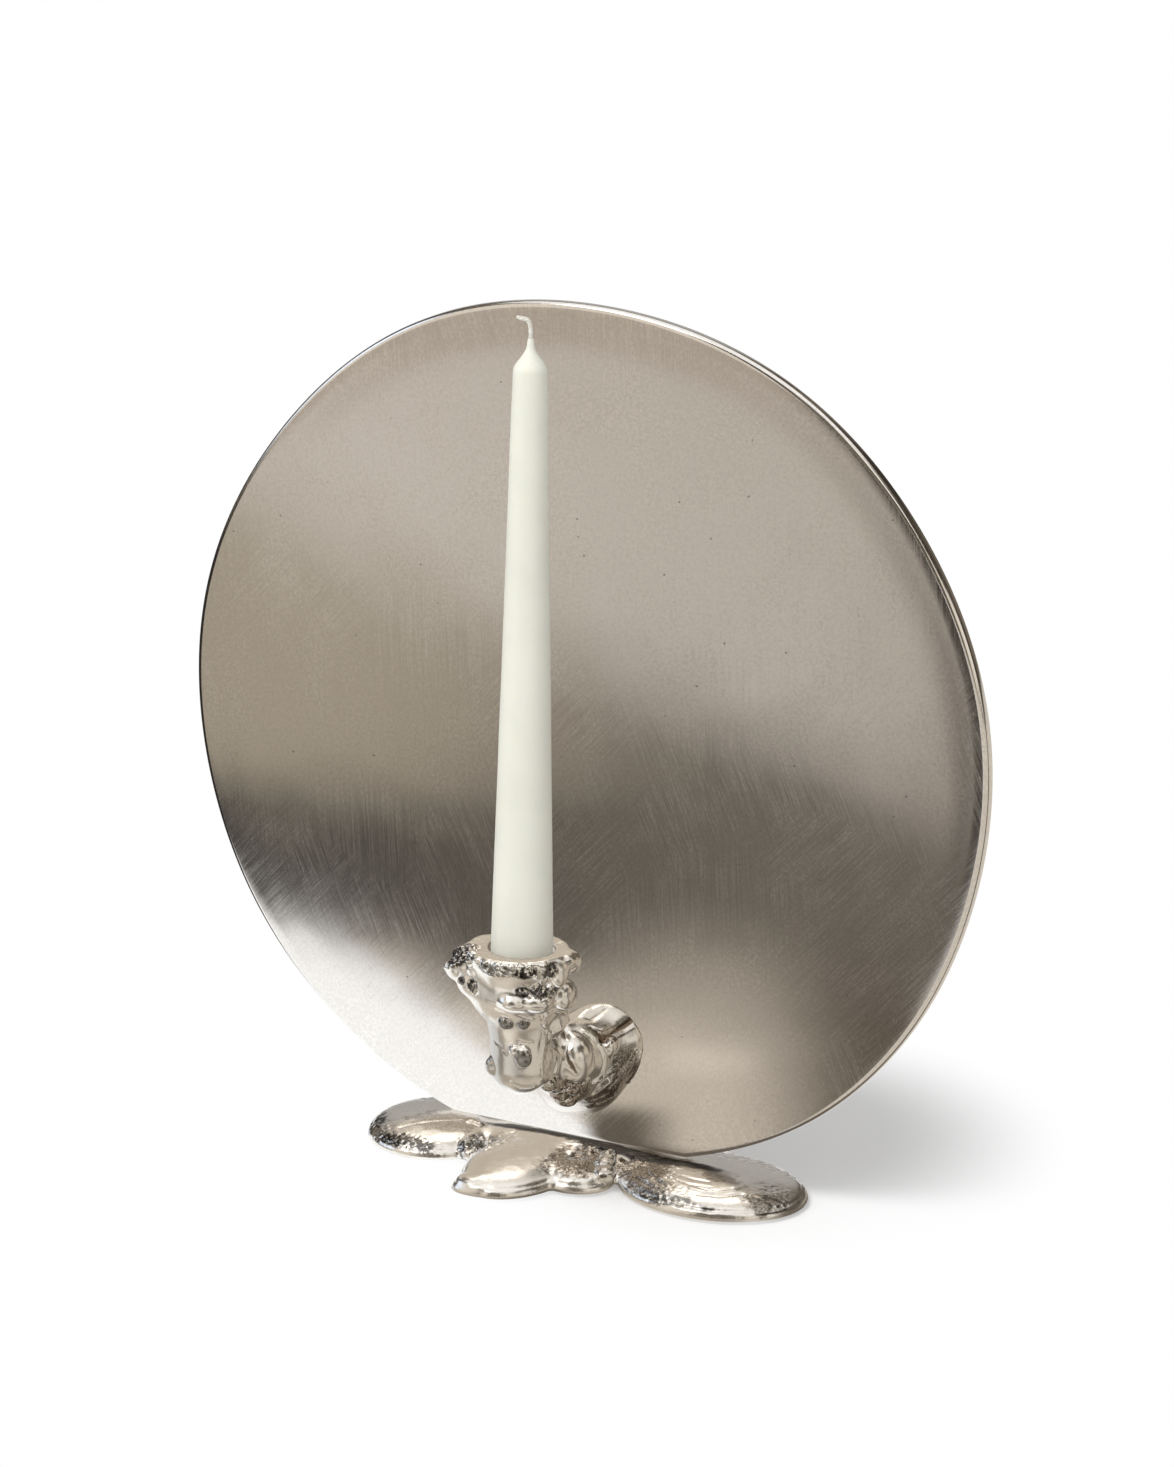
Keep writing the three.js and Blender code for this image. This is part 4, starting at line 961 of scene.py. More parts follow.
def foot_field(points):
    """The lobes and the tongue as one casting, with the slot that the disc stands in."""
    field = lobe_field(points, LOBES[0])
    for lobe in LOBES[1:]:
        field = blend_min(field, lobe_field(points, lobe), width=1.4)
    field = blend_min(field, tongue_field(points), width=3.0)
    for centre, radii, width in FOOT_BALLS:
        add_ball(field, points, centre, radii, width)
    y, z = points[:, 1], points[:, 2]
    in_slot = np.maximum(np.abs(y - DISC_PLANE_Y) - (DISC_BACK_Y - DISC_FRONT_Y) / 2, SEAT_Z - z)
    field = blend_max(field, -in_slot, width=0.3)
    return blend_max(field, FOOT_UNDERSIDE - z, width=1.2)


def flap_rise(points):
    """How far the folded flap lifts the foot's top."""
    inside = np.full(len(points), 1e3)
    for start, end in zip(FLAP, np.roll(FLAP, -1, 0)):
        along = (end - start) / np.linalg.norm(end - start)
        gap = (points[:, :2] - start) @ (-along[1], along[0])
        inside = np.minimum(inside, gap)
    ragged = inside + FLAP_RAG * ripple(points, FLAP_RAG_SIZE, FLAP_RAG_SEED)
    slope = 0.6 + 0.4 * soft_step(points[:, 1], -24, -2)
    return FLAP_RISE * slope * soft_step(ragged, -0.2, 0.5) * soft_step(points[:, 2], 2, 5)


def foot_fit(points):
    """How much of the relief is kept, from none on the underside and in the disc's slot."""
    off_table = soft_step(points[:, 2], FOOT_UNDERSIDE + 0.2, FOOT_UNDERSIDE + 1.5)
    slot = (DISC_BACK_Y - DISC_FRONT_Y) / 2 + SLOT_BORDER
    from_slot = np.maximum(np.abs(points[:, 1] - DISC_PLANE_Y) - slot, 0)
    return off_table * soft_step(from_slot, 0, 1.6)


# Disc

DISC_RADIUS, DISC_EDGE_ROUND = 158.3, 2.1
DISC_FALL_START = 0.9  # share of the way out where the face begins to fall away
# The rim isn't quite round: waves (height, count, phase), and places where it is fuller (height, degrees).
DISC_WAVES = [(0.45, 7, -1.3), (0.3, 5, 2.8)]
DISC_FULLER = [(1.9, -59), (0.9, -112)]
DISC_FULLER_SHARPNESS = 24
# Swells of the ground face: lump size, share and seed.
DISC_SWELLS = [(74, 1, 3), (33, 0.45, 4), (13, 0.16, 5)]
DISC_SWELL_EDGE = (150, 120)  # radii between which the swells grow in from the rim


def disc_outline(count):
    """Points of the rim in X and Z, with the direction out of it at each."""
    angle = np.linspace(0, 2 * np.pi, count, endpoint=False)
    radius = np.full(count, DISC_RADIUS)
    for height, waves, phase in DISC_WAVES:
        radius += height * np.cos(waves * angle + phase)
    for height, place in DISC_FULLER:
        radius += height * np.maximum(0, np.cos(angle - math.radians(place))) ** DISC_FULLER_SHARPNESS
    outline = np.stack([radius * np.cos(angle), DISC_CENTRE_Z + radius * np.sin(angle)], 1)
    outline[:, 1] = np.maximum(outline[:, 1], SEAT_Z)
    along = np.roll(outline, -1, 0) - np.roll(outline, 1, 0)
    along /= np.linalg.norm(along, axis=1)[:, None]
    return outline, np.stack([along[:, 1], -along[:, 0]], 1)


def disc_skin(settings, count=480, face_rings=44, edge_steps=7):
    """The disc as rings of points from the middle of its front, over the rim, to the middle of its back."""
    outline, out = disc_outline(count)
    centre = np.array([0, DISC_CENTRE_Z])
    inner = outline - out * DISC_EDGE_ROUND
    rings = []
    for share in np.linspace(0.02, 1, face_rings):
        ring = centre + (inner - centre) * share
        fall = settings.edge_fall / MM * soft_step(share, DISC_FALL_START, 1.0)
        rings.append((ring, np.full(count, DISC_FRONT_Y + fall)))
    round_depth = DISC_EDGE_ROUND - settings.edge_fall / MM
    for step in range(1, edge_steps + 1):
        turn = step / edge_steps * math.pi / 2
        y = DISC_FRONT_Y + DISC_EDGE_ROUND - round_depth * math.cos(turn)
        rings.append((inner + out * DISC_EDGE_ROUND * math.sin(turn), np.full(count, y)))
    mirrored = [(ring, 2 * DISC_PLANE_Y - y) for ring, y in reversed(rings)]
    rings += mirrored
    points = np.concatenate([np.stack([ring[:, 0], y, ring[:, 1]], 1) for ring, y in rings])
    # The ground faces aren't quite flat.
    from_centre = np.linalg.norm(points[:, [0, 2]] - (0, DISC_CENTRE_Z), axis=1)
    face_share = soft_step(from_centre, *DISC_SWELL_EDGE)
    front = points[:, 1] < DISC_PLANE_Y
    swell = sum(share * ripple(points, size, seed) for size, share, seed in DISC_SWELLS)
    points[:, 1] += np.where(front, 1, -1) * settings.unevenness / MM * (1 + swell) * 0.5 * face_share
    other_way_round = [0, 3, 2, 1]
    return points, tube_faces(len(rings), count)[:, other_way_round]


# Candle

# Height above the socket's floor, and radius of the wax.
CANDLE_PROFILE = np.array([
    (0, 9.6), (0.4, 10.3), (1.5, 11.1), (23, 11.1), (229.4, 6.02), (230.2, 5.9), (231, 5.6), (232.2, 4.9),
    (233.6, 3.85), (235, 2.85), (236.2, 2.1), (237, 1.7), (238.2, 1.45), (239.6, 1.3), (240.5, 1.16),
])  # fmt: skip
CANDLE_TIP = (228, 240.5)  # heights between which its rows lie closer together
CANDLE_SWELLS = (14, 2, 40)  # size, octaves and seed of its swells
CANDLE_DRAWN_OUT = (1, 1, 0.35)  # swells are longer along the candle
CANDLE_SWELL_MIDDLE = 0.6
# The wick's middle line: how far it leans, and height above the socket's floor.
WICK_PATH = [
    (0, 232), (0, 240), (0, 243.4), (0.25, 245.4), (0.9, 246.8), (1.9, 247.4), (3.2, 247.5), (4.2, 247.9),
    (5.1, 248.0),
]  # fmt: skip
WICK_BEND = 0.28  # how roundly the middle line bends, in knots
WICK_LEAN = (-0.894, -0.448)
WICK_RADIUS, WICK_STRANDS = 0.8, 3
WICK_TWIST = 1.15  # radians for each millimetre of its length


def candle_skin(settings, sides=96, rows=180, tip_rows=50):
    """The taper as rings from its foot to its tip, a little out of round."""
    heights, radii = CANDLE_PROFILE.T
    length = np.concatenate([[0], np.cumsum(np.hypot(np.diff(heights), np.diff(radii)))])
    even = np.linspace(0, 1, rows) * length[-1]
    tip = np.interp(np.linspace(*CANDLE_TIP, tip_rows), heights, length)
    places = np.unique(np.concatenate([even, tip]))
    z, radius = np.interp(places, length, heights), np.interp(places, length, radii)
    turn = np.linspace(0, 2 * np.pi, sides, endpoint=False)
    x = CUP_X + radius[:, None] * np.cos(turn)
    y = CUP_Y + radius[:, None] * np.sin(turn)
    points = np.stack([x, y, np.broadcast_to(z[:, None] + SOCKET_FLOOR_Z, x.shape)], -1).reshape(-1, 3)
    out = points - (CUP_X, CUP_Y, 0)
    out[:, 2] = 0
    out /= np.linalg.norm(out, axis=1)[:, None]
    wander = crumple(points * CANDLE_DRAWN_OUT, *CANDLE_SWELLS) - CANDLE_SWELL_MIDDLE
    above_foot = soft_step(points[:, 2], SOCKET_FLOOR_Z + 1, SOCKET_FLOOR_Z + 4)
    points += out * (settings.unevenness / MM * wander * above_foot)[:, None]
    return points, tube_faces(len(places), sides)


def wick_skin(rows=150, sides=30, fine_steps=400):
    """A waxed braid that curls over at its tip."""
    lean_x, lean_y = WICK_LEAN
    far, height = np.array(WICK_PATH).T
    knots = np.stack([CUP_X + lean_x * far, CUP_Y + lean_y * far, SOCKET_FLOOR_Z + height], 1)
    steps, fine = (np.linspace(0, len(knots) - 1, count) for count in (rows, fine_steps))
    bell = np.exp(-(((steps[:, None] - fine) / WICK_BEND) ** 2))
    dense = np.stack([np.interp(fine, range(len(knots)), column) for column in knots.T], 1)
    path = bell @ dense / bell.sum(1)[:, None]
    along = np.gradient(path, axis=0)
    along /= np.linalg.norm(along, axis=1)[:, None]
    side = np.cross((lean_x, lean_y, 0), (0, 0, 1))
    out = np.cross(side, along)
    length = np.concatenate([[0], np.cumsum(np.linalg.norm(np.diff(path, axis=0), axis=1))])
    turn = np.linspace(0, 2 * np.pi, sides, endpoint=False)
    strands = np.abs(np.cos(WICK_STRANDS / 2 * (turn + WICK_TWIST * length[:, None])))
    left = length[-1] - length
    taper = 0.82 + 0.18 * soft_step(left, 0, 3) - 0.5 * soft_step(left, 0.5, 0)
    radius = WICK_RADIUS * taper[:, None] * (0.8 + 0.2 * strands)
    outwards = np.cos(turn)[:, None] * out[:, None] + np.sin(turn)[:, None] * side
    points = path[:, None] + radius[..., None] * outwards
    return points.reshape(-1, 3), tube_faces(rows, sides)


# Pads

# Middles of the pads under the lobes.
PADS = {
    "left": (-51.5, 0),
    "front": (-7.5, -18),
    "right": (60.5, -0.3),
    "rear_left": (-25, 29),
    "rear_right": (25, 29),
}
# Height and radius of a pad's edge.
PAD_PROFILE = [(0.0, 8.7), (0.15, 8.95), (0.5, 9.0), (0.85, 8.93), (1.0, 8.6)]
PAD_MIDDLE_Z = 0.5
PAD_EDGE_WOOL, PAD_FACE_WOOL, WOOL_SIZE = 0.14, 0.035, 0.9  # how far in the wool wanders, and its lumps
FIRST_PAD_SEED = 60


def pad_skin(centre, seed, sides=96, lid_rings=12):
    """A punched felt disc with a soft, slightly ragged edge."""
    (bottom, bottom_radius), (top, top_radius) = PAD_PROFILE[0], PAD_PROFILE[-1]
    turn = np.linspace(0, 2 * np.pi, sides, endpoint=False)
    rings = [(bottom, share * bottom_radius) for share in np.linspace(0.05, 0.97, lid_rings)] + PAD_PROFILE
    rings += [(top, share * top_radius) for share in np.linspace(0.97, 0.05, lid_rings)]
    x, y = centre
    points = np.array([(x + r * math.cos(t), y + r * math.sin(t), z) for z, r in rings for t in turn])
    wool = 1 + crumple(points, WOOL_SIZE, 3, seed)
    from_middle = points[:, :2] - centre
    far = np.linalg.norm(from_middle, axis=1)
    points[:, :2] -= from_middle / far[:, None] * (PAD_EDGE_WOOL * wool * soft_step(far, 7.5, 8.9))[:, None]
    inwards = np.where(points[:, 2] > PAD_MIDDLE_Z, -1, 1)
    points[:, 2] += inwards * PAD_FACE_WOOL * wool * soft_step(far, 9.2, 8.4)
    return points, tube_faces(len(rings), sides)


# Settings


class DiscSettings(PropertyGroup):
    """The disc's finish and how true its face is."""

    colour: FloatVectorProperty(
        name="Metal",
        description="Colour of the brushed nickel",
        subtype="COLOR",
        default=(0.845, 0.805, 0.755),
    )
    roughness: FloatProperty(
        name="Roughness",
        description="How widely the brushed face blurs what it reflects",
        subtype="FACTOR",
        default=0.14,
        min=0,
        max=1,
    )
    unevenness: FloatProperty(
        name="Unevenness", description="How far the ground face swells", unit="LENGTH", default=0.00022
    )
    edge_fall: FloatProperty(
        name="Edge fall",
        description="How far the face falls away towards its rim",
        unit="LENGTH",
        default=0.00025,
    )


class CastingSettings(PropertyGroup):
    """The cast foot, arm and cup."""

    colour: FloatVectorProperty(
        name="Metal",
        description="Colour of the polished nickel",
        subtype="COLOR",
        default=(0.80, 0.76, 0.70),
    )
    # Also the colour of the brown layer, which is partly painted shade.
    patina_and_painted_shade_colour: FloatVectorProperty(
        name="Hollows",
        description="Colour of the metal down in its pits",
        subtype="COLOR",
        default=(0.17, 0.125, 0.085),
    )
    # The painted dark reflections on the crumbs take this colour.
    painted_dark_reflection_colour: FloatVectorProperty(
        name="Crumbs",
        description="Colour of the blackened metal round its crumbs",
        subtype="COLOR",
        default=(0.05, 0.045, 0.04),
    )
    roughness: FloatProperty(
        name="Roughness",
        description="How widely the polished skin blurs what it reflects",
        subtype="FACTOR",
        default=0.25,
        min=0,
        max=1,
    )
    cup_grain: FloatProperty(
        name="Cup grain", description="Size of the faces on the cup and arm", unit="LENGTH", default=0.00055
    )
    foot_grain: FloatProperty(
        name="Foot grain", description="Size of the faces on the foot", unit="LENGTH", default=0.0007
    )


class CandleSettings(PropertyGroup):
    """The taper candle."""

    colour: FloatVectorProperty(
        name="Wax",
        description="Colour of the wax",
        subtype="COLOR",
        default=(0.84, 0.835, 0.74),
    )
    wick_colour: FloatVectorProperty(
        name="Wick",
        description="Colour of the cotton wick",
        subtype="COLOR",
        default=(0.80, 0.76, 0.68),
    )
    unevenness: FloatProperty(
        name="Unevenness", description="How far the wax wanders from round", unit="LENGTH", default=0.00012
    )


class FittingSettings(PropertyGroup):
    """Screws, washers and pads."""

    steel_colour: FloatVectorProperty(
        name="Steel",
        description="Colour of the screws and washers",
        subtype="COLOR",
        default=(0.56, 0.57, 0.58),
    )
    pad_colour: FloatVectorProperty(
        name="Felt",
        description="Colour of the felt pads",
        subtype="COLOR",
        default=(0.035, 0.035, 0.038),
    )


class StageSettings(PropertyGroup):
    """Floor, light and camera."""

    floor_colour: FloatVectorProperty(
        name="Floor",
        description="Colour of the floor",
        subtype="COLOR",
        default=(0.93, 0.93, 0.93),
    )
    daylight: FloatProperty(
        name="Daylight",
        description="Strength of the even light all round",
        subtype="FACTOR",
        default=0.62,
        min=0,
        soft_max=1,
    )
    key_power: FloatProperty(
        name="Key light", description="Power of the large lamp on the left", unit="POWER", default=21.0
    )
    camera_distance: FloatProperty(
        name="Camera distance", description="From the camera to the holder", unit="LENGTH", default=1.6
    )


class HolderSettings(PropertyGroup):
    """All the sizes and colours that a user may change."""

    disc: PointerProperty(type=DiscSettings)
    casting: PointerProperty(type=CastingSettings)
    candle: PointerProperty(type=CandleSettings)
    fitting: PointerProperty(type=FittingSettings)
    stage: PointerProperty(type=StageSettings)


# Pieces


def shared_material(name, maker, settings):
    """The material of a name, made the first time."""
    return bpy.data.materials.get(name) or maker(settings)


def place_on_body(made, body, slot, *nodes):
    """Tells the frame what a piece moves with, and hides the solids it stands for. The slot, what it is made
    of, is not used.
    """
    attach(made, body)
    if nodes:
        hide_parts(*nodes)


def cast_object(name, cast, raised, fit, settings):
    """A casting with its relief. The disc doesn't reflect it."""
    points, faces, out = cast
    material = shared_material("polished_nickel_finish", polished_nickel, settings)
    made = mesh_object(name, points + out * (raised * fit)[:, None], faces, material)
    add_layer(made, "hollow", soft_step(-raised, *HOLLOW_DEPTHS))
    made.visible_glossy = False
    return made


class HOLDER_OT_reflector_disc(Operator):
    """Make the brushed disc with its rounded rim"""

    bl_idname = "holder.reflector_disc"
    bl_label = "Reflector disc"

    def execute(self, context):
        settings = context.scene.candle_holder.disc
        material = shared_material("brushed_nickel_finish", brushed_nickel, settings)
        made = mesh_object("disc_brushed", *disc_skin(settings), material)
        place_on_body(made, "holder", "brushed_nickel", "reflector_disc")
        return {"FINISHED"}


class HOLDER_OT_cup_and_arm(Operator):
    """Make the lumpy cast arm and cup"""

    bl_idname = "holder.cup_and_arm"
    bl_label = "Cup and arm"

    def execute(self, context):
        settings = context.scene.candle_holder.casting
        cast = field_skin(casting_field, CASTING_BOX, settings.cup_grain / MM)
        points = cast[0]
        raised = relief(points, CASTING_LINES, CASTING_PATCHES) + crinkled(points, CASTING_CRINKLES)
        made = cast_object("cup_and_arm", cast, raised, casting_fit(points), settings)
        add_layer(made, "brown", stain_and_painted_shade(points, CUP_BROWN_PATINA_AND_SHADE))
        add_layer(made, "painted_dark_reflection", stain_and_painted_shade(points, CUP_PAINTED_DARK_REFLECTIONS))
        add_layer(made, "painted_shade", stain_and_painted_shade(points, CUP_PAINTED_SHADE, ragged=0.1))
        place_on_body(made, "holder", "polished_nickel", "cup_arm_casting")
        return {"FINISHED"}


class HOLDER_OT_foot(Operator):
    """Make the poured foot with its tongue"""

    bl_idname = "holder.foot"
    bl_label = "Foot"

    def execute(self, context):
        settings = context.scene.candle_holder.casting
        cast = field_skin(foot_field, FOOT_BOX, settings.foot_grain / MM)
        points = cast[0]
        flap = flap_rise(points)
        raised = relief(points, FOOT_LINES, FOOT_PATCHES) + flap + crinkled(points, FOOT_CRINKLES)
        made = cast_object("poured_foot", cast, raised, foot_fit(points), settings)
        off_flap = 1 - 0.5 * soft_step(flap, 0.2, 0.35)
        add_layer(made, "brown", stain_and_painted_shade(points, FOOT_BROWN_PATINA_AND_SHADE, ragged=0.5) * off_flap)
        add_layer(made, "painted_dark_reflection", stain_and_painted_shade(points, FOOT_PAINTED_DARK_REFLECTIONS, ragged=0.5))
        add_layer(made, "painted_shade", stain_and_painted_shade(points, FOOT_PAINTED_SHADOW, ragged=0.15))
        place_on_body(made, "holder", "polished_nickel", "foot_casting")
        return {"FINISHED"}


class HOLDER_OT_candle(Operator):
    """Make the taper candle and its curled wick"""

    bl_idname = "holder.candle"
    bl_label = "Candle"

    def execute(self, context):
        settings = context.scene.candle_holder.candle
        wax_finish = shared_material("candle_wax_finish", candle_wax, settings)
        wax = mesh_object("candle_taper", *candle_skin(settings), wax_finish)
        place_on_body(wax, "candle", "candle_wax", "candle_wax")
        wick_finish = shared_material("wick_cotton_finish", wick_cotton, settings)
        wick = mesh_object("candle_braid", *wick_skin(), wick_finish)
        place_on_body(wick, "candle", "wick_cotton", "candle_wick")
        wax.visible_glossy = wick.visible_glossy = False
        return {"FINISHED"}


class HOLDER_OT_pads(Operator):
    """Make the five felt pads under the foot"""

    bl_idname = "holder.pads"
    bl_label = "Felt pads"

    def execute(self, context):
        settings = context.scene.candle_holder.fitting
        material = shared_material("felt_finish", felt, settings)
        for seed, (name, centre) in enumerate(PADS.items(), FIRST_PAD_SEED):
            made = mesh_object(f"felt_{name}", *pad_skin(centre, seed), material)
            made.visible_glossy = False
            place_on_body(made, "holder", "felt", f"felt_pad_{name}")
        return {"FINISHED"}


class HOLDER_OT_fixings(Operator):
    """Give the screws and washers behind the disc their finish"""

    bl_idname = "holder.fixings"
    bl_label = "Screws and washers"

    def execute(self, context):
        material = shared_material("screw_steel_finish", plated_steel, context.scene.candle_holder.fitting)
        for height in ("lower", "upper"):
            for kind in ("screw", "washer"):
                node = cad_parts[f"arm_{kind}_{height}"]
                node.data.materials.clear()
                node.data.materials.append(material)
        return {"FINISHED"}


# Stage. The camera looks from the right and from above; AZIMUTH turns it about Z from the disc's front.

AZIMUTH, ELEVATION, ROLL = math.radians(26.6), math.radians(16.8), math.radians(1.06)
CAMERA_TARGET = Vector((0.00502, 0.007, 0.163))
CAMERA_LENS, FILM_HEIGHT = 109.94, 36.0  # millimetres
CAMERA_SIDESTEP = 0.00179
TOWARDS_CAMERA = Vector((math.sin(AZIMUTH), -math.cos(AZIMUTH), 0))
# The way in which the disc sends the camera's view back over the table, and the way square to it.
AHEAD = Vector((-math.sin(AZIMUTH), -math.cos(AZIMUTH), 0))
ASIDE = Vector((math.cos(AZIMUTH), -math.sin(AZIMUTH), 0))

FLOOR_SIDE = 12
FLOOR_LIFT = 0.05  # how much lighter the floor looks than its light makes it
SHADOW_MIDDLE, SHADOW_FADE = (0.045, 0.06, 0.0), (0.05, 0.125)
ROOM_FLOOR_SIDE, ROOM_FLOOR_HEIGHT = 10, 0.0004
ROOM_RADIUS, ROOM_CENTRE = 4.0, (0, 0, 0.1)
KEY_PLACE, KEY_AIM, KEY_SIZE = Vector((-0.42, -0.95, 1.85)), Vector((0, 0, 0.12)), 0.8
BOARD_HEIGHT = 0.001
# Boards that light the castings: how far ahead of the holder and aside, width, depth and radiance.
CASTING_BOARDS = {
    "board": (0.37, -0.06, 0.5, 0.3, 0.5),
    "left_board": (0.03, -0.33, 0.34, 0.5, 0.5),
    "front_board": (0.18, 0.1, 0.2, 0.12, 0.65),
}

WHITE = (1, 1, 1)
# Tones of the room's floor, as light: the table is brighter than white. The second of a pair is on the right.
GAP_TONES = (0.09, 0.083, 0.075), (0.165, 0.148, 0.125)
DIM_TONES = (0.44, 0.395, 0.32), (0.17, 0.152, 0.128)
LIGHT_TONES = (0.7, 0.655, 0.61), (0.61, 0.575, 0.525)
LIGHT_CORNER_TONE, LIGHT_END_TONE = (0.47, 0.43, 0.385), (0.5, 0.44, 0.38)
TABLE_TONE = (1.22, 1.25, 1.28)
BROWN_TONES = (0.67, 0.61, 0.53), (0.12, 0.1, 0.08)
SEAM_TONE, GLOW_TONE = (0.15, 0.13, 0.105), (0.95, 0.88, 0.78)
BORDER_TONE, BEHIND_TONE = (0.06, 0.052, 0.045), (0.03, 0.027, 0.025)
RIGHT_TONE, STRIP_TONE, UNDER_TONE = (0.72, 0.67, 0.6), (0.05, 0.045, 0.04), (0.16, 0.135, 0.11)
GLOW_MIDDLE, DARK_MIDDLE = (0.0, -0.112, 0.0), (0.0, 0.05, 0.0)
STRIP_SLANT = 0.06

# Walls of the room, and its lights: direction from the holder, cosines where an edge starts and ends, colour.
WALL_TONES = (0.045, 0.036, 0.028), (0.22, 0.19, 0.15)
ROOM_LIGHTS = [
    ((-0.448, 0.894, 0.3), (0.9, 0.96), (0.47, 0.46, 0.45)),
    ((0.53, -0.5, 0.68), (0.975, 0.99), (1.2, 1.18, 1.12)),
    ((0.0, 0.0, 1.0), (0.76, 0.82), (1.15, 1.15, 1.15)),
    ((-0.55, -0.77, 0.34), (0.87, 0.91), (0.86, 0.8, 0.71)),
    ((-0.93, -0.3, 0.42), (0.955, 0.975), (1.2, 1.35, 1.6)),
    ((-0.3, -0.55, 0.78), (0.98, 0.988), (3.5, 3.5, 3.5)),
    ((0.95, -0.2, 0.22), (0.965, 0.985), (1.0, 0.97, 0.9)),
    ((0.76, -0.6, 0.25), (0.955, 0.985), (0.95, 0.88, 0.77)),
]


def only_in_reflections(made):
    """Hides something from all but metal."""
    made.visible_camera = made.visible_diffuse = made.visible_shadow = made.visible_transmission = False


def level_plane(name, side, height, material, only_reflected=False):
    """A level square round the holder. One that is only reflected shows in metal and nowhere else."""
    half = side / 2
    corners = [(-half, -half), (half, -half), (half, half), (-half, half)]
    mesh = bpy.data.meshes.new(name)
    mesh.from_pydata([(*corner, height) for corner in corners], [], [(0, 1, 2, 3)])
    mesh.materials.append(material)
    made = bpy.data.objects.new(name, mesh)
    bpy.context.scene.collection.objects.link(made)
    if only_reflected:
        only_in_reflections(made)


def seen_directly(make):
    """1 for what the camera, metal and glass see, 0 for what lights the object."""
    ways = make.node("LightPath").node.outputs
    seen = make.larger(ways["Is Camera Ray"], ways["Is Glossy Ray"])
    return make.larger(seen, ways["Is Transmission Ray"])


def floor_material(settings):
    """Pale floor that takes the shadow and turns plain white further out."""
    material, make = new_recipe("floor")
    seen = seen_directly(make)
    from_shadow = make.gap(make.place(), SHADOW_MIDDLE)
    mirrored = make.node("LightPath").node.outputs["Is Glossy Ray"]
    far = make.larger(make.times(make.spread(from_shadow, *SHADOW_FADE), seen), mirrored)
    paper = make.node("BsdfDiffuse", rgba(settings.floor_colour))
    lift = make.node("Emission", WHITE, make.times(seen, FLOOR_LIFT))
    near = make.node("AddShader", paper, lift)
    make.finish(make.node("MixShader", far, near, make.node("Emission", WHITE, 1.0)))
    return material


class RoomFloor:
    """What the metal reflects on the table and past it. The disc sees a wedge of it from its left side on."""

    def __init__(self, make):
        self.make = make
        self.place = make.place()
        self.corners = make.node("SeparateXYZ", self.place).node.outputs
        self.ahead, self.aside = make.along(self.place, AHEAD), make.along(self.place, ASIDE)
        wander = make.minus(make.noise(self.place, 5.0, 3.0, 0.55), 0.5)
        wander = make.times(wander, make.spread(self.ahead, 0.1, 0.6, 0.08, 0.2))
        feather = make.times(make.minus(make.noise(self.place, 22.0, 3.0, 0.6), 0.5), 0.11)
        self.warped = make.plus(self.ahead, make.plus(wander, feather))

    def past(self, share):
        """How far aside, less a share of how far ahead."""
        return self.make.minus(self.aside, self.make.times(self.ahead, share))

    def far_tone(self):
        """Past the table: a dark gap, then a dim stretch and a light one."""
        make, aside = self.make, self.aside
        rightwards = make.spread(aside, -0.13, 0.09)
        gap, dim, light = (make.mix(rightwards, *tones) for tones in (GAP_TONES, DIM_TONES, LIGHT_TONES))
        light = make.mix(make.spread(self.past(0.02), 0.11, 0.18), light, LIGHT_CORNER_TONE)
        light = make.mix(make.spread(self.ahead, 1.25, 1.65), light, LIGHT_END_TONE)
        tone = make.mix(make.spread(self.warped, 0.39, 0.48), gap, dim)
        into_light = make.plus(self.warped, make.times(aside, 1.6))
        return make.mix(make.spread(into_light, 0.58, 0.75), tone, light)

    def table_tone(self):
        """The pale table on the left and a browner one on the right, with a dark seam and a glow."""
        make, aside = self.make, self.aside
        brown = make.mix(make.spread(aside, 0.05, 0.12), *BROWN_TONES)
        tone = make.mix(make.spread(self.past(-0.48), 0.012, 0.022), TABLE_TONE, brown)
        seam = make.times(make.spread(aside, 0.0, 0.01), make.spread(aside, 0.045, 0.02))
        tone = make.mix(make.times(seam, make.spread(self.ahead, 0.06, 0.03)), tone, SEAM_TONE)
        glow = make.gap(self.place, GLOW_MIDDLE)
        return make.mix(make.spread(glow, 0.03, 0.005, 0.0, 0.6), tone, GLOW_TONE)

    def wedge_tone(self):
        """The table, what lies past it, and a dark side that shades the disc's right border."""
        make, aside = self.make, self.aside
        past_table = make.minus(self.warped, make.spread(aside, -0.14, 0.02, 0.24, 0.145))
        leaves = make.spread(aside, -0.05, 0.03, -0.045, -0.075)
        gone = make.spread(aside, -0.05, 0.03, 0.05, 0.145)
        tone = make.mix(make.spread(past_table, leaves, gone), self.table_tone(), self.far_tone())
        return make.mix(make.spread(self.past(0.1), 0.138, 0.165), tone, BORDER_TONE)

    def behind(self):
        """The dark all round on the left and behind the disc."""
        make = self.make
        around = make.gap(self.place, DARK_MIDDLE)
        behind = make.times(make.spread(around, 0.22, 0.3), make.spread(self.ahead, 0.12, 0.0))
        behind = make.times(behind, make.spread(self.aside, 0.0, -0.12))
        return make.larger(behind, make.spread(self.past(-0.25), -0.15, -0.175))

    def strip(self):
        """A dark strip on the right, which draws a line along the rim."""
        make, x = self.make, self.corners["X"]
        slant = make.node("Math", self.corners["Y"], x, operation="DIVIDE")
        off_strip = make.absolute(make.minus(slant, STRIP_SLANT))
        return make.times(make.spread(x, 0.25, 0.3), make.spread(off_strip, 0.17, 0.09))

    def under(self):
        """A dark line under the disc."""
        make = self.make
        off_disc = make.absolute(make.minus(self.corners["Y"], DISC_PLANE_Y * MM))
        return make.times(make.spread(off_disc, 0.03, 0.014), make.spread(self.corners["X"], 0.0, 0.03))

    def covered(self, *parts):
        """Where the floor is there: in front of the disc and in the given parts."""
        make = self.make
        beyond = make.minus(self.past(0.4), make.spread(self.ahead, 0.1, 0.14, 0.22, 0.115))
        covered = make.times(make.spread(beyond, 0.0, -0.03), make.spread(self.ahead, -0.03, -0.01))
        for part in parts:
            covered = make.larger(covered, part)
        return covered


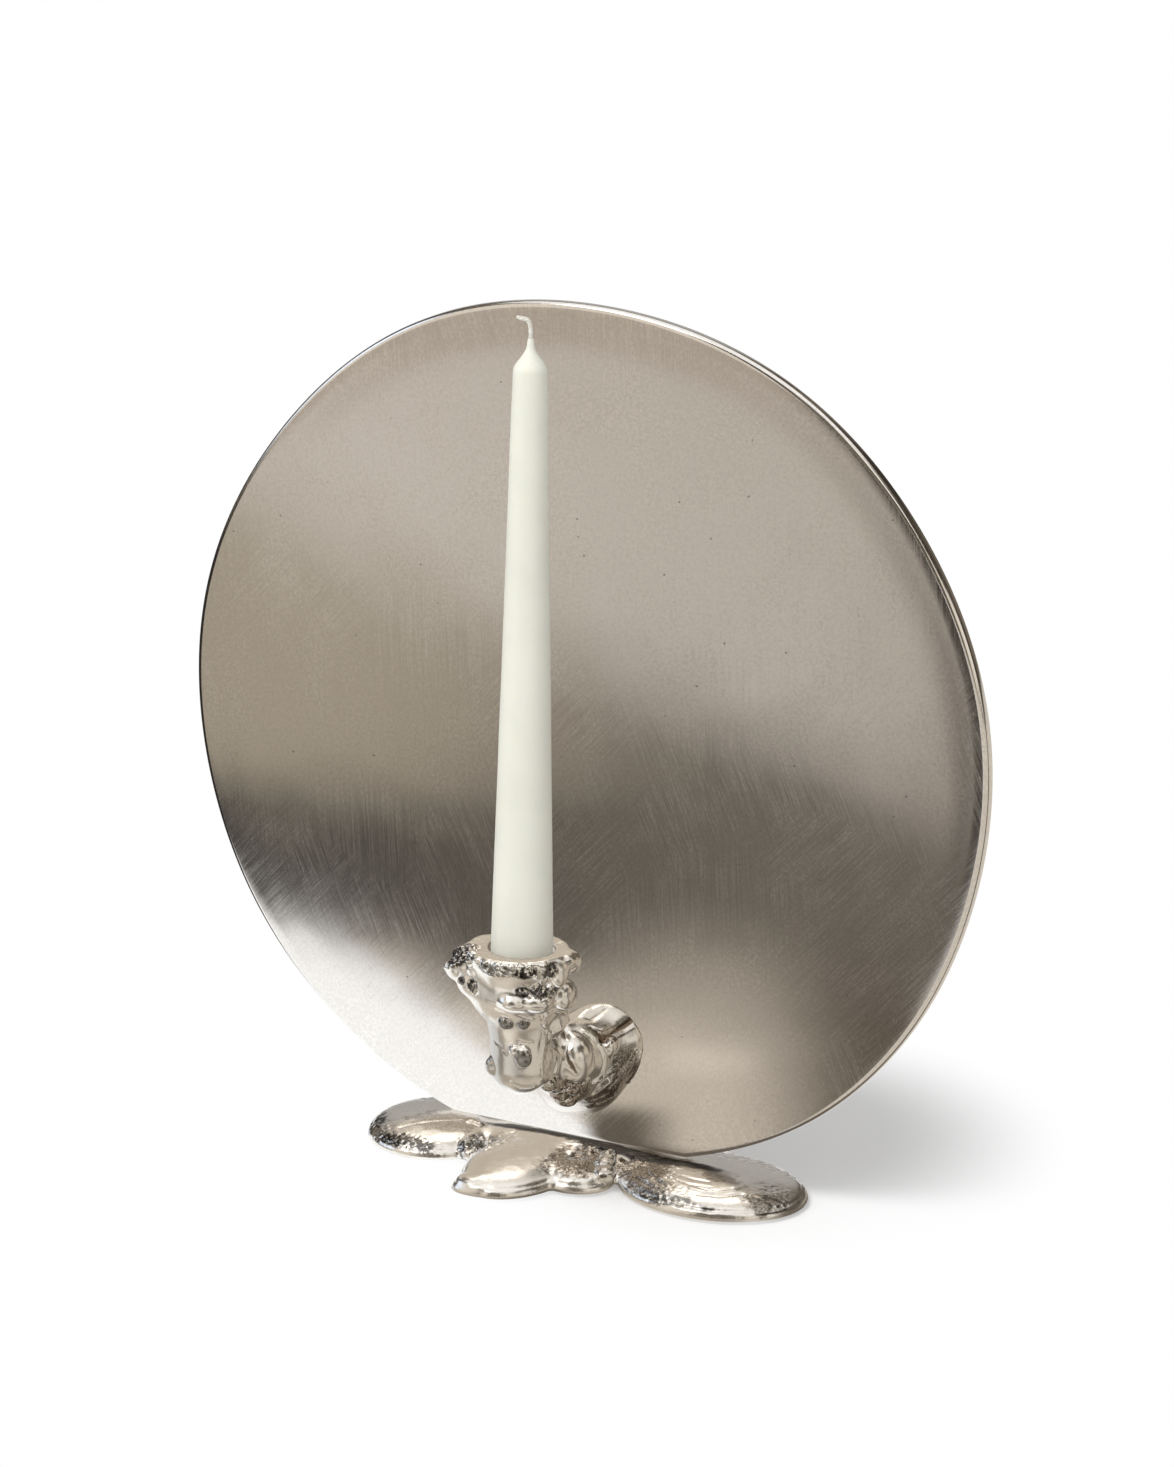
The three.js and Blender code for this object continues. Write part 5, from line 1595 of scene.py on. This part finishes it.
def room_floor_material():
    """The room's floor, clear where it doesn't reach."""
    material, make = new_recipe("room_floor")
    floor = RoomFloor(make)
    behind, strip, under = floor.behind(), floor.strip(), floor.under()
    right = make.spread(floor.corners["X"], 0.078, 0.095)
    tone = make.mix(behind, floor.wedge_tone(), BEHIND_TONE)
    tone = make.mix(right, tone, RIGHT_TONE)
    tone = make.mix(strip, tone, STRIP_TONE)
    tone = make.mix(under, tone, UNDER_TONE)
    clear, lit = make.node("BsdfTransparent"), make.node("Emission", tone, 1.0)
    make.finish(make.node("MixShader", floor.covered(behind, right, under), clear, lit))
    return material


def room_material():
    """A dim studio room with softboxes, shown only in reflections."""
    material, make = new_recipe("room")
    way = make.node("VectorMath", make.place(), operation="NORMALIZE", output="Vector")
    blotch = make.noise(way, 3.2, 4.0, 0.6)
    tone = make.mix(make.spread(blotch, 0.42, 0.62), *WALL_TONES)
    shift = make.times(make.minus(make.noise(way, 4.5), 0.5), 0.06)
    for axis, edges, colour in ROOM_LIGHTS:
        along = make.along(way, Vector(axis).normalized())
        tone = make.mix(make.spread(make.plus(along, shift), *edges), tone, colour)
    make.finish(make.node("Emission", tone, 1.0))
    return material


def stage_room():
    """A large ball round the whole stage that only reflections see."""
    bpy.ops.mesh.primitive_ico_sphere_add(subdivisions=5, radius=ROOM_RADIUS, location=ROOM_CENTRE)
    made = bpy.context.object
    made.name = "room"
    made.data.materials.append(room_material())
    only_in_reflections(made)


def studio_world(settings):
    """Even light all round, and plain white for what is seen past the floor."""
    world = bpy.data.worlds.new("studio")
    bpy.context.scene.world = world
    make = Recipe(world)
    strength = make.mix(seen_directly(make), settings.daylight, 1.0, "FLOAT")
    make.node("OutputWorld", make.node("Background", WHITE, strength))


def area_lamp(name, place, turn, power, **shape):
    """A flat lamp that the camera doesn't see."""
    data = bpy.data.lights.new(name, "AREA")
    data.energy = power
    for key, value in shape.items():
        setattr(data, key, value)
    lamp = bpy.data.objects.new(name, data)
    lamp.location, lamp.rotation_euler = place, turn
    lamp.visible_camera = False
    bpy.context.scene.collection.objects.link(lamp)
    return lamp


def key_lamp(settings):
    """The large lamp on the left, which metal doesn't reflect."""
    turn = (KEY_AIM - KEY_PLACE).to_track_quat("-Z", "Y").to_euler()
    lamp = area_lamp("key", KEY_PLACE, turn, settings.key_power, shape="SQUARE", size=KEY_SIZE)
    lamp.visible_glossy = False


def casting_board(name, ahead, aside, width, depth, radiance):
    """A board lying on the table that lights only the castings."""
    centre = AHEAD * ahead + ASIDE * aside
    turn, power = (math.pi, 0, -AZIMUTH), radiance * math.pi * width * depth
    shape = {"shape": "RECTANGLE", "size": width, "size_y": depth}
    lamp = area_lamp(name, (centre.x, centre.y, BOARD_HEIGHT), turn, power, **shape)
    castings = bpy.data.collections.new(name)
    for piece in ("cup_and_arm", "poured_foot"):
        castings.objects.link(bpy.data.objects[piece])
    lamp.light_linking.receiver_collection = castings


def studio_camera(settings):
    """The camera, tilted a little as it was held."""
    back = Vector((*(TOWARDS_CAMERA * math.cos(ELEVATION)).xy, math.sin(ELEVATION)))
    level = Vector((math.cos(AZIMUTH), math.sin(AZIMUTH), 0))
    upright = back.cross(level)
    right = level * math.cos(ROLL) + upright * math.sin(ROLL)
    up = upright * math.cos(ROLL) - level * math.sin(ROLL)
    data = bpy.data.cameras.new("camera")
    data.lens, data.sensor_width, data.sensor_fit = CAMERA_LENS, FILM_HEIGHT, "AUTO"
    camera = bpy.data.objects.new("camera", data)
    place = CAMERA_TARGET + back * settings.camera_distance - right * CAMERA_SIDESTEP
    camera.matrix_world = Matrix.Translation(place) @ Matrix((right, up, back)).transposed().to_4x4()
    bpy.context.scene.collection.objects.link(camera)
    bpy.context.scene.camera = camera


class HOLDER_OT_stage(Operator):
    """Set up the floor, the light and the camera. The castings have to be there"""

    bl_idname = "holder.stage"
    bl_label = "Stage"

    def execute(self, context):
        settings = context.scene.candle_holder.stage
        level_plane("floor", FLOOR_SIDE, 0, floor_material(settings))
        level_plane("room_floor", ROOM_FLOOR_SIDE, ROOM_FLOOR_HEIGHT, room_floor_material(), True)
        stage_room()
        studio_world(settings)
        key_lamp(settings)
        for name, measures in CASTING_BOARDS.items():
            casting_board(name, *measures)
        studio_camera(settings)
        context.scene.view_settings.view_transform = "Standard"
        return {"FINISHED"}


class HOLDER_PT_parts(Panel):
    """Lists the holder's pieces and its stage"""

    bl_label = "Candle holder"
    bl_idname = "HOLDER_PT_parts"
    bl_space_type = "VIEW_3D"
    bl_region_type = "UI"
    bl_category = "Candle holder"

    def draw(self, context):
        for operator in PARTS:
            self.layout.operator(operator.bl_idname)


PARTS = (
    HOLDER_OT_foot,
    HOLDER_OT_reflector_disc,
    HOLDER_OT_cup_and_arm,
    HOLDER_OT_candle,
    HOLDER_OT_pads,
    HOLDER_OT_fixings,
    HOLDER_OT_stage,
)
SETTINGS = (DiscSettings, CastingSettings, CandleSettings, FittingSettings, StageSettings, HolderSettings)


def register():
    """Adds the settings, the operators and the panel."""
    for kind in (*SETTINGS, *PARTS, HOLDER_PT_parts):
        bpy.utils.register_class(kind)
    bpy.types.Scene.candle_holder = PointerProperty(type=HolderSettings)


def unregister():
    """Takes them away again."""
    del bpy.types.Scene.candle_holder
    for kind in (HOLDER_PT_parts, *reversed(PARTS), *reversed(SETTINGS)):
        bpy.utils.unregister_class(kind)


def main():
    """Makes every piece and the stage."""
    register()
    bpy.ops.holder.foot()
    bpy.ops.holder.reflector_disc()
    bpy.ops.holder.cup_and_arm()
    bpy.ops.holder.candle()
    bpy.ops.holder.pads()
    bpy.ops.holder.fixings()
    bpy.ops.holder.stage()


if __name__ == "__main__":
    main()
